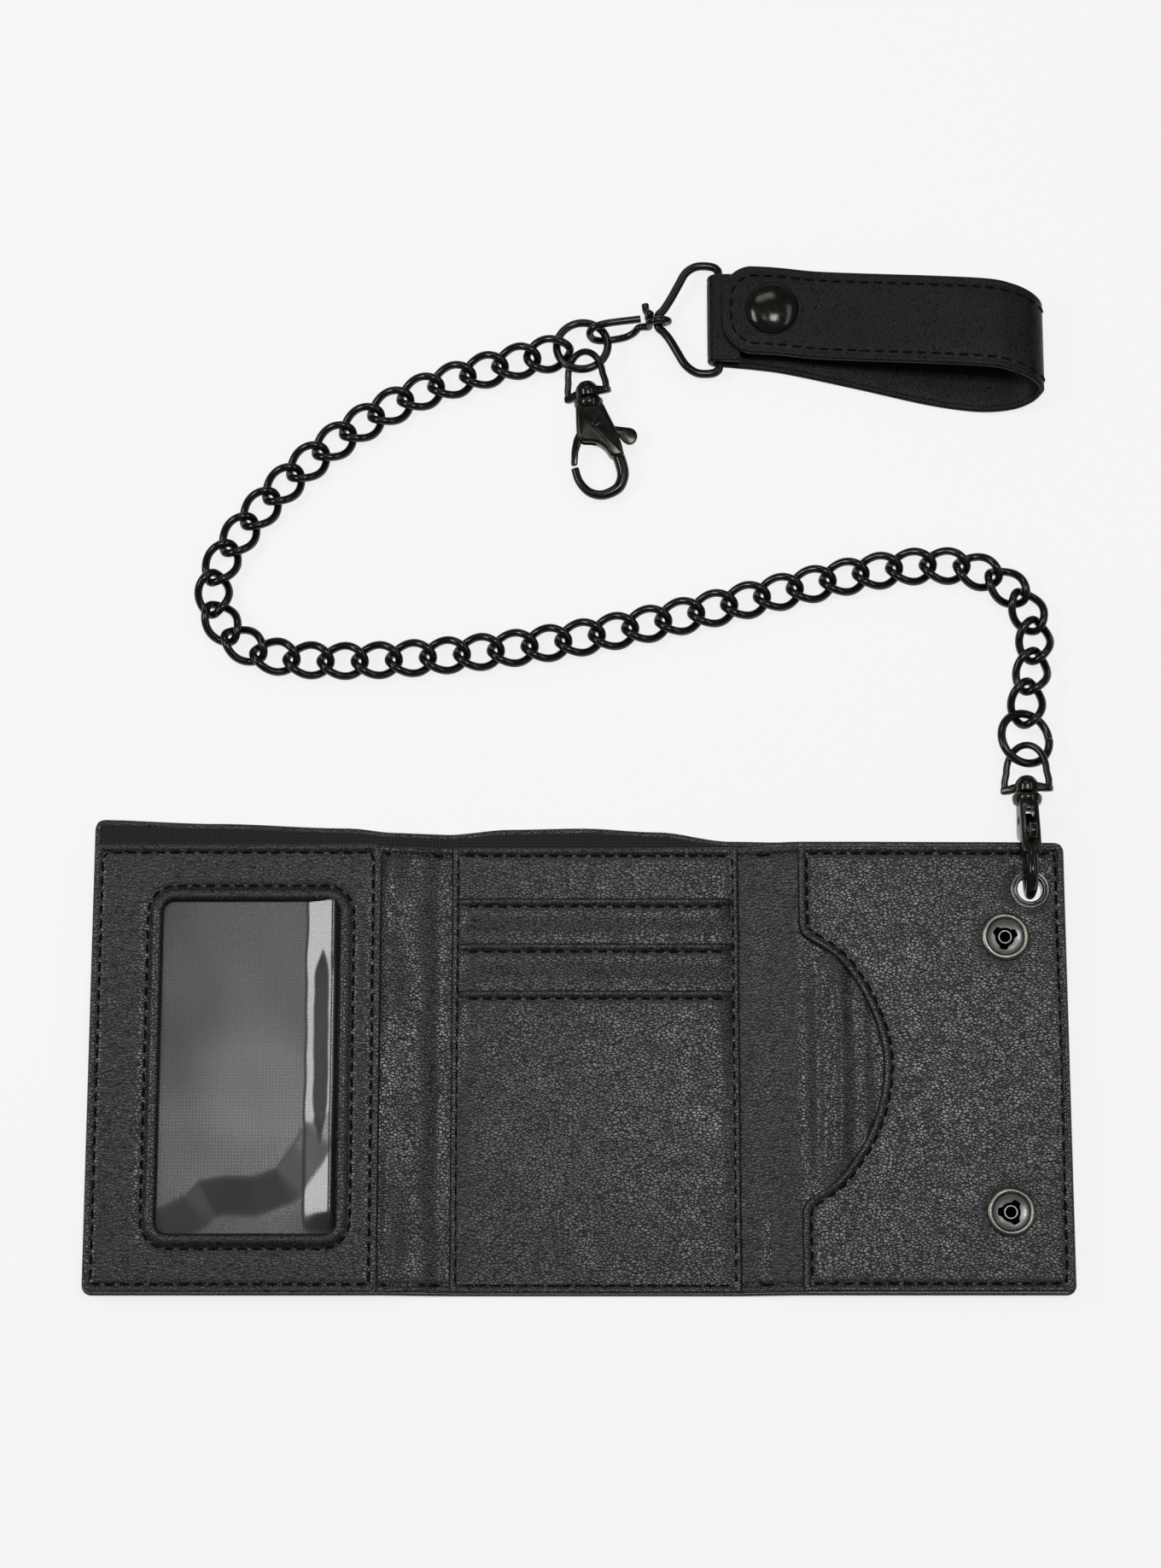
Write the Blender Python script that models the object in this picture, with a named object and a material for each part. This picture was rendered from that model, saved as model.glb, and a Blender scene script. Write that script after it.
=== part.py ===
"""Trifold chain wallet with a curb chain, two trigger hooks and a snap belt loop.

The open wallet lies with its inner side up.  X runs along the wallet, Y from its bottom edge to
its top edge, Z up.  The origin is the middle of the centre panel's back, on the table.
Lengths below are in millimetres and are turned into metres where meshes are made.
"""
import math

import bmesh
import bpy
from mathutils import Matrix, Vector

MM = 0.001

# ---------------------------------------------------------------- driving dimensions
GAP = 0.3                     # room between separate pieces
SHELL = 1.0                   # outer leather
LINING = 0.4                  # woven lining of the bill compartment
PANEL = 0.9                   # inner leather
NEUTRAL = 0.5 * SHELL         # height of the hinge lines in a panel

BOTTOM = -55.3                # bottom edge of every panel
INNER_TOP = 50.4              # top edge of the inner panels
LEFT_EDGE, LEFT_CREASE = -119.0, -49.0
CENTRE_LEFT, CENTRE_RIGHT = -34.0, 34.2
RIGHT_CREASE, RIGHT_EDGE = 47.2, 111.4
LEFT_TOP, CENTRE_TOP, RIGHT_TOP = 57.0, 54.5, 51.2   # top edges of the outer shell
LEFT_LIFT, RIGHT_LIFT = 3.2, 3.7                     # height of the side panels over the table
SPINE_SHARE = 0.65            # share of the left fold taken by its inner rib

EYELET = (102.8, 39.6)
EYELET_HOLE, EYELET_BARREL, EYELET_FLANGE = 2.9, 3.2, 4.85
SOCKETS = {"upper": (96.6, 28.2), "lower": (96.3, -36.3)}
STUDS = {"upper": (-72.5, 28.2), "lower": (-72.2, -36.3)}
POST_RADIUS = 1.5
POST_HOLE = 1.9

LINK_WIDTH, LINK_WIRE = 7.5, 0.98         # centreline width of a link, radius of its wire
LINK_TWIST = 45.0
LINK_SHARE = 2.6                          # how far neighbouring links reach into each other
LINKS, SEGMENT = 43, 4
RING_RADIUS, RING_WIRE = 6.3, 1.0

HOOK_THICKNESS = 4.6
LEVER_THICKNESS = 1.5
PIN_RADIUS = 0.8

STRAP_WIDTH = 22.6
STRAP_THICKNESS = 1.5
STRAP_SNAP = (43.5, 183.9)

# The chain's route over the table, from ring 2 beside the belt loop to ring 1 at the wallet.
CHAIN_ROUTE = [
    (-6.0, 174.9, 3.4), (-16.3, 172.4, 3.4), (-28.0, 169.4, 2.7), (-43.5, 163.8, 2.5),
    (-57.5, 155.7, 2.5), (-70.5, 145.7, 2.5), (-82.0, 133.6, 2.5), (-91.0, 120.8, 2.5),
    (-93.3, 113.0, 2.5), (-91.2, 105.7, 2.5), (-85.0, 99.8, 2.5), (-77.0, 97.0, 2.5),
    (-60.0, 96.2, 2.5), (-43.0, 97.0, 2.5), (-18.0, 99.6, 2.5), (5.8, 103.8, 2.5),
    (29.6, 109.5, 2.5), (52.9, 115.4, 2.5), (68.6, 118.8, 2.5), (84.0, 120.4, 2.5),
    (92.0, 119.4, 2.5), (99.2, 116.2, 2.5), (104.8, 110.5, 2.5), (107.1, 102.9, 2.5),
    (106.0, 96.4, 3.5), (104.2, 90.5, 4.6), (103.0, 79.9, 4.6)]

# Rings: centre and tilt about X and Y, in degrees.
RING_1 = ((102.9, 76.4, 5.6), (-7.5, 20.0))
RING_2 = ((-3.0, 175.7, 3.52), (-7.3, -3.7))


# ---------------------------------------------------------------- materials
def material(name, colour, roughness, metallic=0.0):
    made = bpy.data.materials.new(name)
    made.use_nodes = True
    shader = made.node_tree.nodes["Principled BSDF"]
    shader.inputs["Base Color"].default_value = (*colour, 1.0)
    shader.inputs["Roughness"].default_value = roughness
    shader.inputs["Metallic"].default_value = metallic
    return made


def clear_scene():
    for old in list(bpy.data.objects):
        bpy.data.objects.remove(old, do_unlink=True)


clear_scene()
LEATHER = material("black_grained_leather", (0.016, 0.016, 0.018), 0.45)
STRAP_LEATHER = material("black_smooth_leather", (0.014, 0.014, 0.014), 0.5)
FABRIC = material("black_woven_lining", (0.02, 0.02, 0.022), 0.9)
VINYL = material("clear_vinyl", (0.55, 0.56, 0.58), 0.15)
LACQUER = material("black_lacquered_metal", (0.012, 0.012, 0.011), 0.22, 0.6)
NICKEL = material("antique_nickel", (0.36, 0.34, 0.31), 0.3, 1.0)
GUNMETAL = material("gunmetal", (0.1, 0.1, 0.1), 0.3, 1.0)
STEEL = material("spring_steel", (0.5, 0.5, 0.5), 0.35, 1.0)


# ---------------------------------------------------------------- small geometry helpers
def rectangle(x0, x1, y0, y1, radius=0.0, steps=4):
    """Outline of a rectangle, counterclockwise, with round corners where a radius is given."""
    if radius <= 0:
        return [(x0, y0), (x1, y0), (x1, y1), (x0, y1)]
    points = []
    corners = [(x1 - radius, y0 + radius, -90), (x1 - radius, y1 - radius, 0),
               (x0 + radius, y1 - radius, 90), (x0 + radius, y0 + radius, 180)]
    for cx, cy, start in corners:
        points += arc(cx, cy, radius, start, start + 90, steps)
    return points


def arc(cx, cy, radius, start, end, steps):
    angles = [math.radians(start + (end - start) * i / steps) for i in range(steps + 1)]
    return [(cx + radius * math.cos(a), cy + radius * math.sin(a)) for a in angles]


def smooth_path(points, per_span):
    """Catmull-Rom curve through the points."""
    points = [Vector(p) for p in points]
    ends = [2 * points[0] - points[1]] + points + [2 * points[-1] - points[-2]]
    curve = []
    for a, b, c, d in zip(ends, ends[1:], ends[2:], ends[3:]):
        for i in range(per_span):
            t = i / per_span
            curve.append(0.5 * (2 * b + (c - a) * t + (2 * a - 5 * b + 4 * c - d) * t * t
                                + (3 * b - a - 3 * c + d) * t ** 3))
    return curve + [points[-1]]


def tilted(x_degrees, y_degrees, z_degrees=0.0):
    """Rotation about X, then Y, then Z."""
    return (Matrix.Rotation(math.radians(z_degrees), 3, "Z")
            @ Matrix.Rotation(math.radians(y_degrees), 3, "Y")
            @ Matrix.Rotation(math.radians(x_degrees), 3, "X"))


# ---------------------------------------------------------------- making objects
PIVOTS = {"right_panel": Vector((0, 0, 0))}
EMPTIES = {}


def pivot(name, parent, location):
    """An empty on a joint's axis; the pieces of a moving body hang from it."""
    empty = bpy.data.objects.new(name + "_pivot", None)
    bpy.context.collection.objects.link(empty)
    PIVOTS[name] = Vector(location)
    empty.location = (PIVOTS[name] - PIVOTS[parent]) * MM
    if parent in EMPTIES:
        empty.parent = EMPTIES[parent]
    EMPTIES[name] = empty


def add(name, bm, body, look, smooth=None):
    """Turn a bmesh in world millimetres into an object that hangs from its body's pivot."""
    bmesh.ops.recalc_face_normals(bm, faces=bm.faces)
    bmesh.ops.triangulate(bm, faces=bm.faces)
    bmesh.ops.transform(bm, matrix=Matrix.Translation(-PIVOTS[body]), verts=bm.verts)
    bmesh.ops.scale(bm, vec=(MM, MM, MM), verts=bm.verts)
    mesh = bpy.data.meshes.new(name)
    bm.to_mesh(mesh)
    bm.free()
    if smooth is not None:
        mesh.shade_smooth()
        mesh.set_sharp_from_angle(angle=math.radians(smooth))
    obj = bpy.data.objects.new(name, mesh)
    bpy.context.collection.objects.link(obj)
    obj.data.materials.append(look)
    if body in EMPTIES:
        obj.parent = EMPTIES[body]
    return obj


def cutter(name, bm, body):
    obj = add(name, bm, body, LEATHER)
    obj.hide_render = True
    obj.display_type = "WIRE"
    return obj


def boolean(obj, other, operation="DIFFERENCE"):
    modifier = obj.modifiers.new(other.name, "BOOLEAN")
    modifier.operation = operation
    modifier.solver = "EXACT"
    modifier.object = other


def prism(outline, z0, z1, bm=None):
    """Outline in X and Y, extruded from z0 to z1."""
    bm = bm or bmesh.new()
    base = [bm.verts.new((x, y, z0)) for x, y in outline]
    face = bm.faces.new(base)
    top = bmesh.ops.extrude_face_region(bm, geom=[face])
    moved = [v for v in top["geom"] if isinstance(v, bmesh.types.BMVert)]
    bmesh.ops.translate(bm, verts=moved, vec=(0, 0, z1 - z0))
    return bm


def framed_prism(outer, inner, z0, z1):
    """A flat frame between two outlines with the same number of points."""
    bm = bmesh.new()
    rings = [[bm.verts.new((x, y, z)) for x, y in outline]
             for outline, z in ((outer, z0), (outer, z1), (inner, z1), (inner, z0))]
    skin(bm, rings, close_rings=True)
    return bm


def skin(bm, rings, close_rings=False, cap=False):
    """Quads between rings of equal length."""
    pairs = list(zip(rings, rings[1:]))
    if close_rings:
        pairs.append((rings[-1], rings[0]))
    count = len(rings[0])
    for one, two in pairs:
        for i in range(count):
            j = (i + 1) % count
            bm.faces.new((one[i], one[j], two[j], two[i]))
    if cap:
        bm.faces.new(list(reversed(rings[0])))
        bm.faces.new(rings[-1])


def turned(profile, steps, centre, axis=None, bm=None):
    """Solid of revolution about Z from (radius, height) points; radius 0 closes at a pole."""
    bm = bm or bmesh.new()
    start = set(bm.verts)
    rings = []
    for radius, height in profile:
        if radius == 0:
            rings.append([bm.verts.new((0, 0, height))])
            continue
        angles = [2 * math.pi * i / steps for i in range(steps)]
        rings.append([bm.verts.new((radius * math.cos(a), radius * math.sin(a), height))
                      for a in angles])
    closed = profile[0][0] > 0
    pairs = list(zip(rings, rings[1:])) + ([(rings[-1], rings[0])] if closed else [])
    for one, two in pairs:
        for i in range(steps):
            j = (i + 1) % steps
            corners = [one[i % len(one)], one[j % len(one)], two[j % len(two)], two[i % len(two)]]
            bm.faces.new(list(dict.fromkeys(corners)))
    fresh = [v for v in bm.verts if v not in start]
    if axis is not None:
        turn = Vector((0, 0, 1)).rotation_difference(Vector(axis)).to_matrix()
        bmesh.ops.rotate(bm, cent=(0, 0, 0), matrix=turn, verts=fresh)
    bmesh.ops.translate(bm, verts=fresh, vec=centre)
    return bm


def tube(path, radius, sides, closed=False, bm=None):
    """A round wire along the path; radius may be a number or one value for each point."""
    bm = bm or bmesh.new()
    path = [Vector(p) for p in path]
    count = len(path)
    radii = [radius] * count if isinstance(radius, (int, float)) else radius
    tangents = []
    for i in range(count):
        before = path[i - 1] if i or closed else path[0]
        after = path[(i + 1) % count] if i + 1 < count or closed else path[-1]
        tangents.append((after - before).normalized())
    side = tangents[0].orthogonal().normalized()
    sides_at = []
    for i in range(count):
        if i:
            side = tangents[i - 1].rotation_difference(tangents[i]) @ side
        side = (side - side.dot(tangents[i]) * tangents[i]).normalized()
        sides_at.append(side)
    drift = 0.0
    if closed:
        end = tangents[-1].rotation_difference(tangents[0]) @ sides_at[-1]
        drift = end.angle(sides_at[0])
        if end.cross(sides_at[0]).dot(tangents[0]) < 0:
            drift = -drift
    rings = []
    for i in range(count):
        untwist = Matrix.Rotation(drift * i / count, 3, tangents[i])
        across = untwist @ sides_at[i]
        up = tangents[i].cross(across)
        rings.append([bm.verts.new(path[i] + radii[i] * (
            across * math.cos(2 * math.pi * k / sides) + up * math.sin(2 * math.pi * k / sides)))
            for k in range(sides)])
    skin(bm, rings, close_rings=closed, cap=not closed)
    return bm


def ribbon(path, width, thickness, bm=None):
    """A flat strip along the path, its width along Y and its thickness across the path."""
    bm = bm or bmesh.new()
    path = [Vector(p) for p in path]
    rings = []
    for i, point in enumerate(path):
        along = path[min(i + 1, len(path) - 1)] - path[max(i - 1, 0)]
        normal = Vector((-along.z, 0, along.x)).normalized() * thickness / 2
        half = Vector((0, width / 2, 0))
        rings.append([bm.verts.new(point + a + b) for a, b in
                      ((normal, -half), (normal, half), (-normal, half), (-normal, -half))])
    skin(bm, rings, cap=True)
    return bm


# ---------------------------------------------------------------- wallet panels
def stack(lift):
    """Heights of a panel's layers over the table."""
    shell = (lift, lift + SHELL)
    lining = (shell[1] + GAP, shell[1] + GAP + LINING)
    inner = (lining[1] + GAP, lining[1] + GAP + PANEL)
    outer = (inner[1] + GAP, inner[1] + GAP + PANEL)
    return shell, lining, inner, outer


INSET = 1.4                   # inner layers stop this far from a hinge line
LINING_INSET = 1.2            # the lining stops this far inside the shell's edge
CORNER = 2.0


def shell_panel(name, body, x0, x1, top, lift, round_left, round_right):
    """Outer leather: round at its free corners, chamfered towards a hinge line."""
    points = []
    for cx, cy, start, is_round in ((x1, BOTTOM, -90, round_right), (x1, top, 0, round_right),
                                    (x0, top, 90, round_left), (x0, BOTTOM, 180, round_left)):
        if is_round:
            inward_x = -CORNER if cx == x1 else CORNER
            inward_y = CORNER if cy == BOTTOM else -CORNER
            points += arc(cx + inward_x, cy + inward_y, CORNER, start, start + 90, 3)
        else:
            points.append((cx, cy))
    bm = prism(points, lift, lift + SHELL)
    for vert in bm.verts:
        at_hinge = (vert.co.x == x0 and not round_left) or (vert.co.x == x1 and not round_right)
        if at_hinge:
            inward = 1 if vert.co.x == x0 else -1
            vert.co.x += inward * (0.9 if vert.co.z > lift + NEUTRAL else 0.25)
    return add(name, bm, body, LEATHER)


def flat_panel(name, body, outline, heights, look):
    return add(name, prism(outline, *heights), body, look)


def right_panel():
    body = "right_panel"
    shell, lining, backing, pocket = stack(RIGHT_LIFT)
    holes = bmesh.new()
    spans = [(*EYELET, EYELET_BARREL + GAP)]
    spans += [(x, y, POST_HOLE) for x, y in SOCKETS.values()]
    for x, y, radius in spans:
        turned([(0, -1), (radius, -1), (radius, 12), (0, 12)], 12, (x, y, 0), bm=holes)
    holes = cutter("right_panel_holes", holes, body)
    left = RIGHT_CREASE
    layers = [
        shell_panel("outer_shell_right", body, left, RIGHT_EDGE, RIGHT_TOP, RIGHT_LIFT,
                    False, True),
        flat_panel("bill_lining_right", body,
                   rectangle(left + INSET, RIGHT_EDGE - LINING_INSET, BOTTOM + LINING_INSET,
                             RIGHT_TOP - LINING_INSET), lining, FABRIC),
        flat_panel("pocket_backing", body,
                   rectangle(left + INSET, RIGHT_EDGE - 0.4, BOTTOM + 0.4, INNER_TOP, CORNER, 3),
                   backing, LEATHER)]
    for layer in layers:
        boolean(layer, holes)
    right_pocket(body, pocket)
    snap_caps(body, shell[0], backing[1])
    for name, (x, y) in SOCKETS.items():
        profile = [(2.1, 0), (5.7, 0), (5.7, 0.8), (5.2, 1.35), (4.4, 1.35), (3.9, 0.7), (2.1, 0.7)]
        add("snap_socket_" + name, turned(profile, 16, (x, y, backing[1] + GAP)), body, NICKEL, 35)
    eyelet(body, shell[0], backing[1])


def right_pocket(body, heights):
    """The right pocket's leather, cut away in a thumb notch at the fold."""
    edge = 48.2
    notch = smooth_path([(47.8, 29.4, 0), (58.0, 22.4, 0), (65.2, 8.5, 0), (67.4, -2.2, 0),
                         (64.6, -16.0, 0), (57.2, -28.0, 0), (48.2, -34.3, 0)], 2)
    outline = [(edge, INNER_TOP - 0.4)]
    outline += [(max(p.x, edge), p.y) for p in notch]
    outline += [(edge, BOTTOM + 0.8), (RIGHT_EDGE - 0.8, BOTTOM + 0.8)]
    outline += [(RIGHT_EDGE - 0.8, INNER_TOP - 0.4)]
    panel = flat_panel("side_pocket", body, outline, heights, LEATHER)
    holes = bmesh.new()
    for x, y in SOCKETS.values():
        turned([(0, -1), (6.1, -1), (6.1, 20), (0, 20)], 16, (x, y, 0), bm=holes)
    turned([(0, -1), (EYELET_FLANGE + GAP, -1), (EYELET_FLANGE + GAP, 20), (0, 20)], 16,
           (*EYELET, 0), bm=holes)
    boolean(panel, cutter("side_pocket_holes", holes, body))


def snap_caps(body, shell_bottom, backing_top):
    """Domed caps on the outer face, each with a post through the leather into its socket."""
    dome_base = shell_bottom - GAP
    dome = dome_base - 2.0
    for name, (x, y) in SOCKETS.items():
        profile = [(0, dome), (2.8, dome + 0.3), (4.8, dome + 0.9), (6.0, dome_base - 0.3),
                   (6.0, dome_base), (POST_RADIUS, dome_base), (POST_RADIUS, backing_top + 0.3),
                   (0, backing_top + 0.3)]
        add("snap_cap_" + name, turned(profile, 16, (x, y, 0)), body, GUNMETAL, 35)


def eyelet(body, shell_bottom, backing_top):
    flange = backing_top + GAP
    barrel_end = shell_bottom - 0.4
    profile = [(EYELET_HOLE, barrel_end), (EYELET_BARREL, barrel_end), (EYELET_BARREL, flange),
               (EYELET_FLANGE, flange), (4.5, flange + 0.7), (3.6, flange + 0.9),
               (EYELET_HOLE, flange + 0.5)]
    add("eyelet", turned(profile, 16, (*EYELET, 0)), body, GUNMETAL, 35)
    washer = [(EYELET_BARREL + GAP, 0), (4.5, 0), (4.5, 0.4), (EYELET_BARREL + GAP, 0.4)]
    add("eyelet_washer", turned(washer, 16, (*EYELET, shell_bottom - GAP - 0.4)), body, GUNMETAL, 35)


def centre_panel():
    body = "centre_panel"
    shell, lining, base, slot = stack(0.0)
    shell_panel("outer_shell_centre", body, CENTRE_LEFT, CENTRE_RIGHT, CENTRE_TOP, 0.0, False, False)
    x0, x1 = CENTRE_LEFT + INSET, CENTRE_RIGHT - INSET
    flat_panel("bill_lining_centre", body,
               rectangle(x0, x1, BOTTOM + LINING_INSET, CENTRE_TOP - LINING_INSET), lining, FABRIC)
    flat_panel("card_panel", body, rectangle(x0, x1, BOTTOM + 0.4, INNER_TOP), base, LEATHER)
    thick = 0.6
    raised = slot[0] + thick + GAP
    edges = [("card_slot_top", 38.0, 27.2), ("card_slot_middle", 27.2, 16.0),
             ("card_pocket_front", 16.0, None)]
    for name, top, following in edges:
        low = BOTTOM + 0.8 if following is None else following - 4.5
        bend = top - 30.0 if following is None else following + 1.0
        profile = [(top, raised), (top - 5.0, raised), (bend, slot[0]), (low, slot[0]),
                   (low, slot[0] + thick), (bend, slot[0] + thick), (top - 5.0, raised + thick),
                   (top, raised + thick)]
        bm = bmesh.new()
        left, right = x0 + 0.4, x1 - 0.4
        rings = [[bm.verts.new((x, y, z)) for y, z in profile] for x in (left, right)]
        skin(bm, rings, cap=True)
        add(name, bm, body, LEATHER)


def left_panel():
    body = "left_panel"
    shell, lining, back, _ = stack(LEFT_LIFT)
    x0, x1 = LEFT_EDGE, LEFT_CREASE
    outer = shell_panel("outer_shell_left", body, x0, x1, LEFT_TOP, LEFT_LIFT, True, False)
    fabric = flat_panel("bill_lining_left", body,
                        rectangle(x0 + LINING_INSET, x1 - INSET, BOTTOM + LINING_INSET,
                                  LEFT_TOP - LINING_INSET), lining, FABRIC)
    holes = bmesh.new()
    for x, y in STUDS.values():
        turned([(0, -1), (POST_HOLE, -1), (POST_HOLE, back[0] - 0.1), (0, back[0] - 0.1)], 12,
               (x, y, 0), bm=holes)
    holes = cutter("left_panel_holes", holes, body)
    boolean(outer, holes)
    right = x1 - 1.3
    pocket_back = (back[0], back[0] + 0.5)
    window = (pocket_back[1] + GAP, pocket_back[1] + GAP + 0.3)
    frame = (window[1] + GAP, window[1] + GAP + PANEL)
    flat_panel("id_pocket_back", body, rectangle(x0 + 0.6, right, BOTTOM + 0.6, INNER_TOP - 0.4),
               pocket_back, FABRIC)
    opening = rectangle(-101.8, -60.4, -41.2, 36.8, 2.6, 4)
    flat_panel("id_window", body, rectangle(-106.5, -55.6, -46.5, 41.5), window, VINYL)
    border = rectangle(x0 + 0.4, right + 0.2, BOTTOM + 0.4, INNER_TOP, CORNER, 4)
    add("id_window_frame", framed_prism(border, opening, *frame), body, LEATHER)
    snap_studs(body, fabric, holes, shell)


def snap_studs(body, fabric, holes, shell):
    """Studs on the outer face and, inside, the rivets that hold them."""
    boolean(fabric, holes)
    for name, (x, y) in STUDS.items():
        top = shell[0] - GAP
        profile = [(POST_RADIUS - 0.5, 0), (1.7, 0), (2.2, 0.5), (2.2, 1.0), (1.9, 1.6),
                   (3.6, 2.1), (5.4, 2.3), (5.4, top), (POST_RADIUS - 0.5, top)]
        add("snap_stud_" + name, turned(profile, 16, (x, y, 0)), body, NICKEL, 35)
        head = shell[1] + 0.1
        rivet = [(0, 1.0), (0.7, 1.0), (0.7, head), (POST_HOLE - GAP, head),
                 (POST_HOLE - GAP, head + 0.5), (0, head + 0.5)]
        add("stud_rivet_" + name, turned(rivet, 12, (x, y, 0)), body, GUNMETAL, 35)


def spine(name, body, start, end, start_top, end_top):
    """One strip of outer leather between two hinge lines, thinned towards both."""
    (xa, za), (xb, zb) = start, end
    along = Vector((xb - xa, 0, zb - za)).normalized()
    normal = Vector((-along.z, 0, along.x))
    if normal.z < 0:
        normal = -normal
    half = NEUTRAL * normal
    a, b = Vector((xa, 0, za)), Vector((xb, 0, zb))
    corners = [a + along * 0.25 - half, b - along * 0.25 - half, b - along * 0.9 + half,
               a + along * 0.9 + half]
    bm = bmesh.new()
    rings = []
    for is_top in (False, True):
        ring = []
        for i, corner in enumerate(corners):
            near_start = i in (0, 3)
            top = start_top if near_start else end_top
            ring.append(bm.verts.new((corner.x, top if is_top else BOTTOM, corner.z)))
        rings.append(ring)
    skin(bm, rings, cap=True)
    add(name, bm, body, LEATHER)


# ---------------------------------------------------------------- metal parts
def hook_frame(origin, across, up):
    """Map hook coordinates (across, along, through) to world coordinates."""
    across, up = Vector(across).normalized(), Vector(up).normalized()
    return origin, across, up, across.cross(up)


def to_world(frame, u, v, w=0.0):
    origin, across, up, through = frame
    return Vector(origin) + across * u + up * v + through * w


def hook_prism(outline, half, frame, bm=None):
    bm = bm or bmesh.new()
    rings = [[bm.verts.new(to_world(frame, u, v, w)) for u, v in outline] for w in (-half, half)]
    skin(bm, rings, cap=True)
    return bm


HOOK_PIVOT = (1.0, 0.0)       # the lever's pin in the hook's own plane
HOOK_NECK = 5.0               # the body ends and the collar starts here
EYE_BASE = 7.9                # the swivel eye's crossbar
EYE_TOP = 18.6
EYE_HALF = 5.4
EYE_WIRE = 0.85


def hook_body(name, body, frame):
    outline = [(-3.3, HOOK_NECK), (-3.8, 0.0), (-3.9, -2.7), (-2.8, -4.4), (-0.5, -4.6),
               (1.2, -5.2), (2.6, -6.6), (3.8, -9.0), (7.1, -9.0), (6.7, -6.0), (6.0, -2.8),
               (5.1, 0.0), (4.2, 2.5), (3.5, HOOK_NECK)]
    block = add(name, hook_prism(outline, HOOK_THICKNESS / 2, frame), body, LACQUER, 35)
    loop = smooth_path([(5.3, -8.0, 0), (6.0, -10.6, 0), (6.1, -13.4, 0), (4.8, -16.1, 0),
                        (2.3, -17.4, 0), (-0.2, -17.6, 0), (-2.8, -16.4, 0), (-4.7, -13.6, 0),
                        (-5.3, -10.8, 0)], 2)
    radii = [1.45 - 0.5 * i / (len(loop) - 1) for i in range(len(loop))]
    arm = cutter(name + "_arm", tube([to_world(frame, p.x, p.y) for p in loop], radii, 10), body)
    boolean(block, arm, "UNION")
    collar = turned([(0, -0.8), (3.3, -0.8), (3.6, 0.5), (3.6, 1.1), (3.1, 1.7), (0, 1.7)], 16,
                    to_world(frame, 0, HOOK_NECK), axis=frame[2])
    boolean(block, cutter(name + "_collar", collar, body), "UNION")
    slot = hook_prism([(-7, -7), (0.6, -7), (0.6, -3.7), (12, -3.7), (12, 3.0), (-7, 3.0)],
                      LEVER_THICKNESS / 2 + GAP + 0.05, frame)
    boolean(block, cutter(name + "_slot", slot, body))
    bores = turned([(0, -4), (PIN_RADIUS + GAP, -4), (PIN_RADIUS + GAP, 4), (0, 4)], 10,
                   to_world(frame, *HOOK_PIVOT), axis=frame[3])
    spring_bore = turned([(0, 2.6), (1.35, 2.6), (1.35, 5.4), (0, 5.4)], 10,
                         to_world(frame, 0, -0.9), axis=frame[2], bm=bores)
    boolean(block, cutter(name + "_bores", spring_bore, body))
    stem_bore = turned([(0, 5.0), (1.5, 5.0), (1.5, 8), (0, 8)], 12, to_world(frame, 0, 0),
                       axis=frame[2])
    boolean(block, cutter(name + "_stem_bore", stem_bore, body))


def hook_lever(name, body, frame):
    px, py = HOOK_PIVOT
    tab = arc(8.7, -3.9, 2.1, 75, -95, 6)
    outline = [(-6.0, -9.3), (-5.6, -6.0), (-4.7, -3.0), (-3.0, -0.2), (-0.6, 1.5), (1.0, 1.9),
               (2.6, 1.2), (5.2, -0.9), *tab, (7.6, -5.5), (6.9, -4.7), (6.2, -3.3), (3.0, -2.2),
               (0.8, -1.9), (-1.4, -2.2), (-2.7, -3.6), (-4.0, -6.3), (-4.8, -9.3)]
    lever = add(name, hook_prism(outline, LEVER_THICKNESS / 2, frame), body, LACQUER, 35)
    bore = turned([(0, -4), (PIN_RADIUS + GAP, -4), (PIN_RADIUS + GAP, 4), (0, 4)], 10,
                  to_world(frame, px, py), axis=frame[3])
    boolean(lever, cutter(name + "_bore", bore, body))


def hook_pin(name, body, frame):
    half = HOOK_THICKNESS / 2
    profile = [(0, -half + 0.1), (PIN_RADIUS, -half + 0.1), (PIN_RADIUS, half - 0.1),
               (0, half - 0.1)]
    add(name, turned(profile, 12, to_world(frame, *HOOK_PIVOT), axis=frame[3]), body, LACQUER, 35)


def hook_spring(name, body, frame):
    turns, rise = 3, 1.6
    steps = 6
    path = []
    for i in range(turns * steps + 1):
        angle = 2 * math.pi * i / steps
        path.append(to_world(frame, 0.8 * math.cos(angle), 2.5 + rise * i / (turns * steps),
                             0.8 * math.sin(angle)))
    add(name, tube(path, 0.2, 4), body, STEEL)


def hook_eye(name, body, frame, roll):
    """Swivel eye: a stirrup with a crossbar and a headed stem that turns in the collar."""
    turn = math.radians(roll)

    def place(u, v, w=0.0):
        return to_world(frame, u * math.cos(turn) - w * math.sin(turn), v,
                        u * math.sin(turn) + w * math.cos(turn))

    rise = 7.0
    steps = 8
    path = []
    for i in range(steps + 1):
        angle = math.pi * i / steps
        path.append(place(EYE_HALF * math.cos(angle), EYE_TOP - rise + rise * math.sin(angle)))
    path += [place(-EYE_HALF, EYE_BASE + 0.3), place(-2.7, EYE_BASE)]
    path += [place(2.7, EYE_BASE), place(EYE_HALF, EYE_BASE + 0.3)]
    eye = add(name, tube(path, EYE_WIRE, 6, closed=True), body, LACQUER, 40)
    stem = turned([(0, 5.4), (1.1, 5.4), (1.1, 7.1), (2.9, 7.1), (2.9, 8.7), (2.5, 9.6),
                   (1.9, 10.7), (1.0, 11.3), (0, 11.4)], 12, to_world(frame, 0, 0), axis=frame[2])
    boolean(eye, cutter(name + "_stem", stem, body), "UNION")


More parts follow.
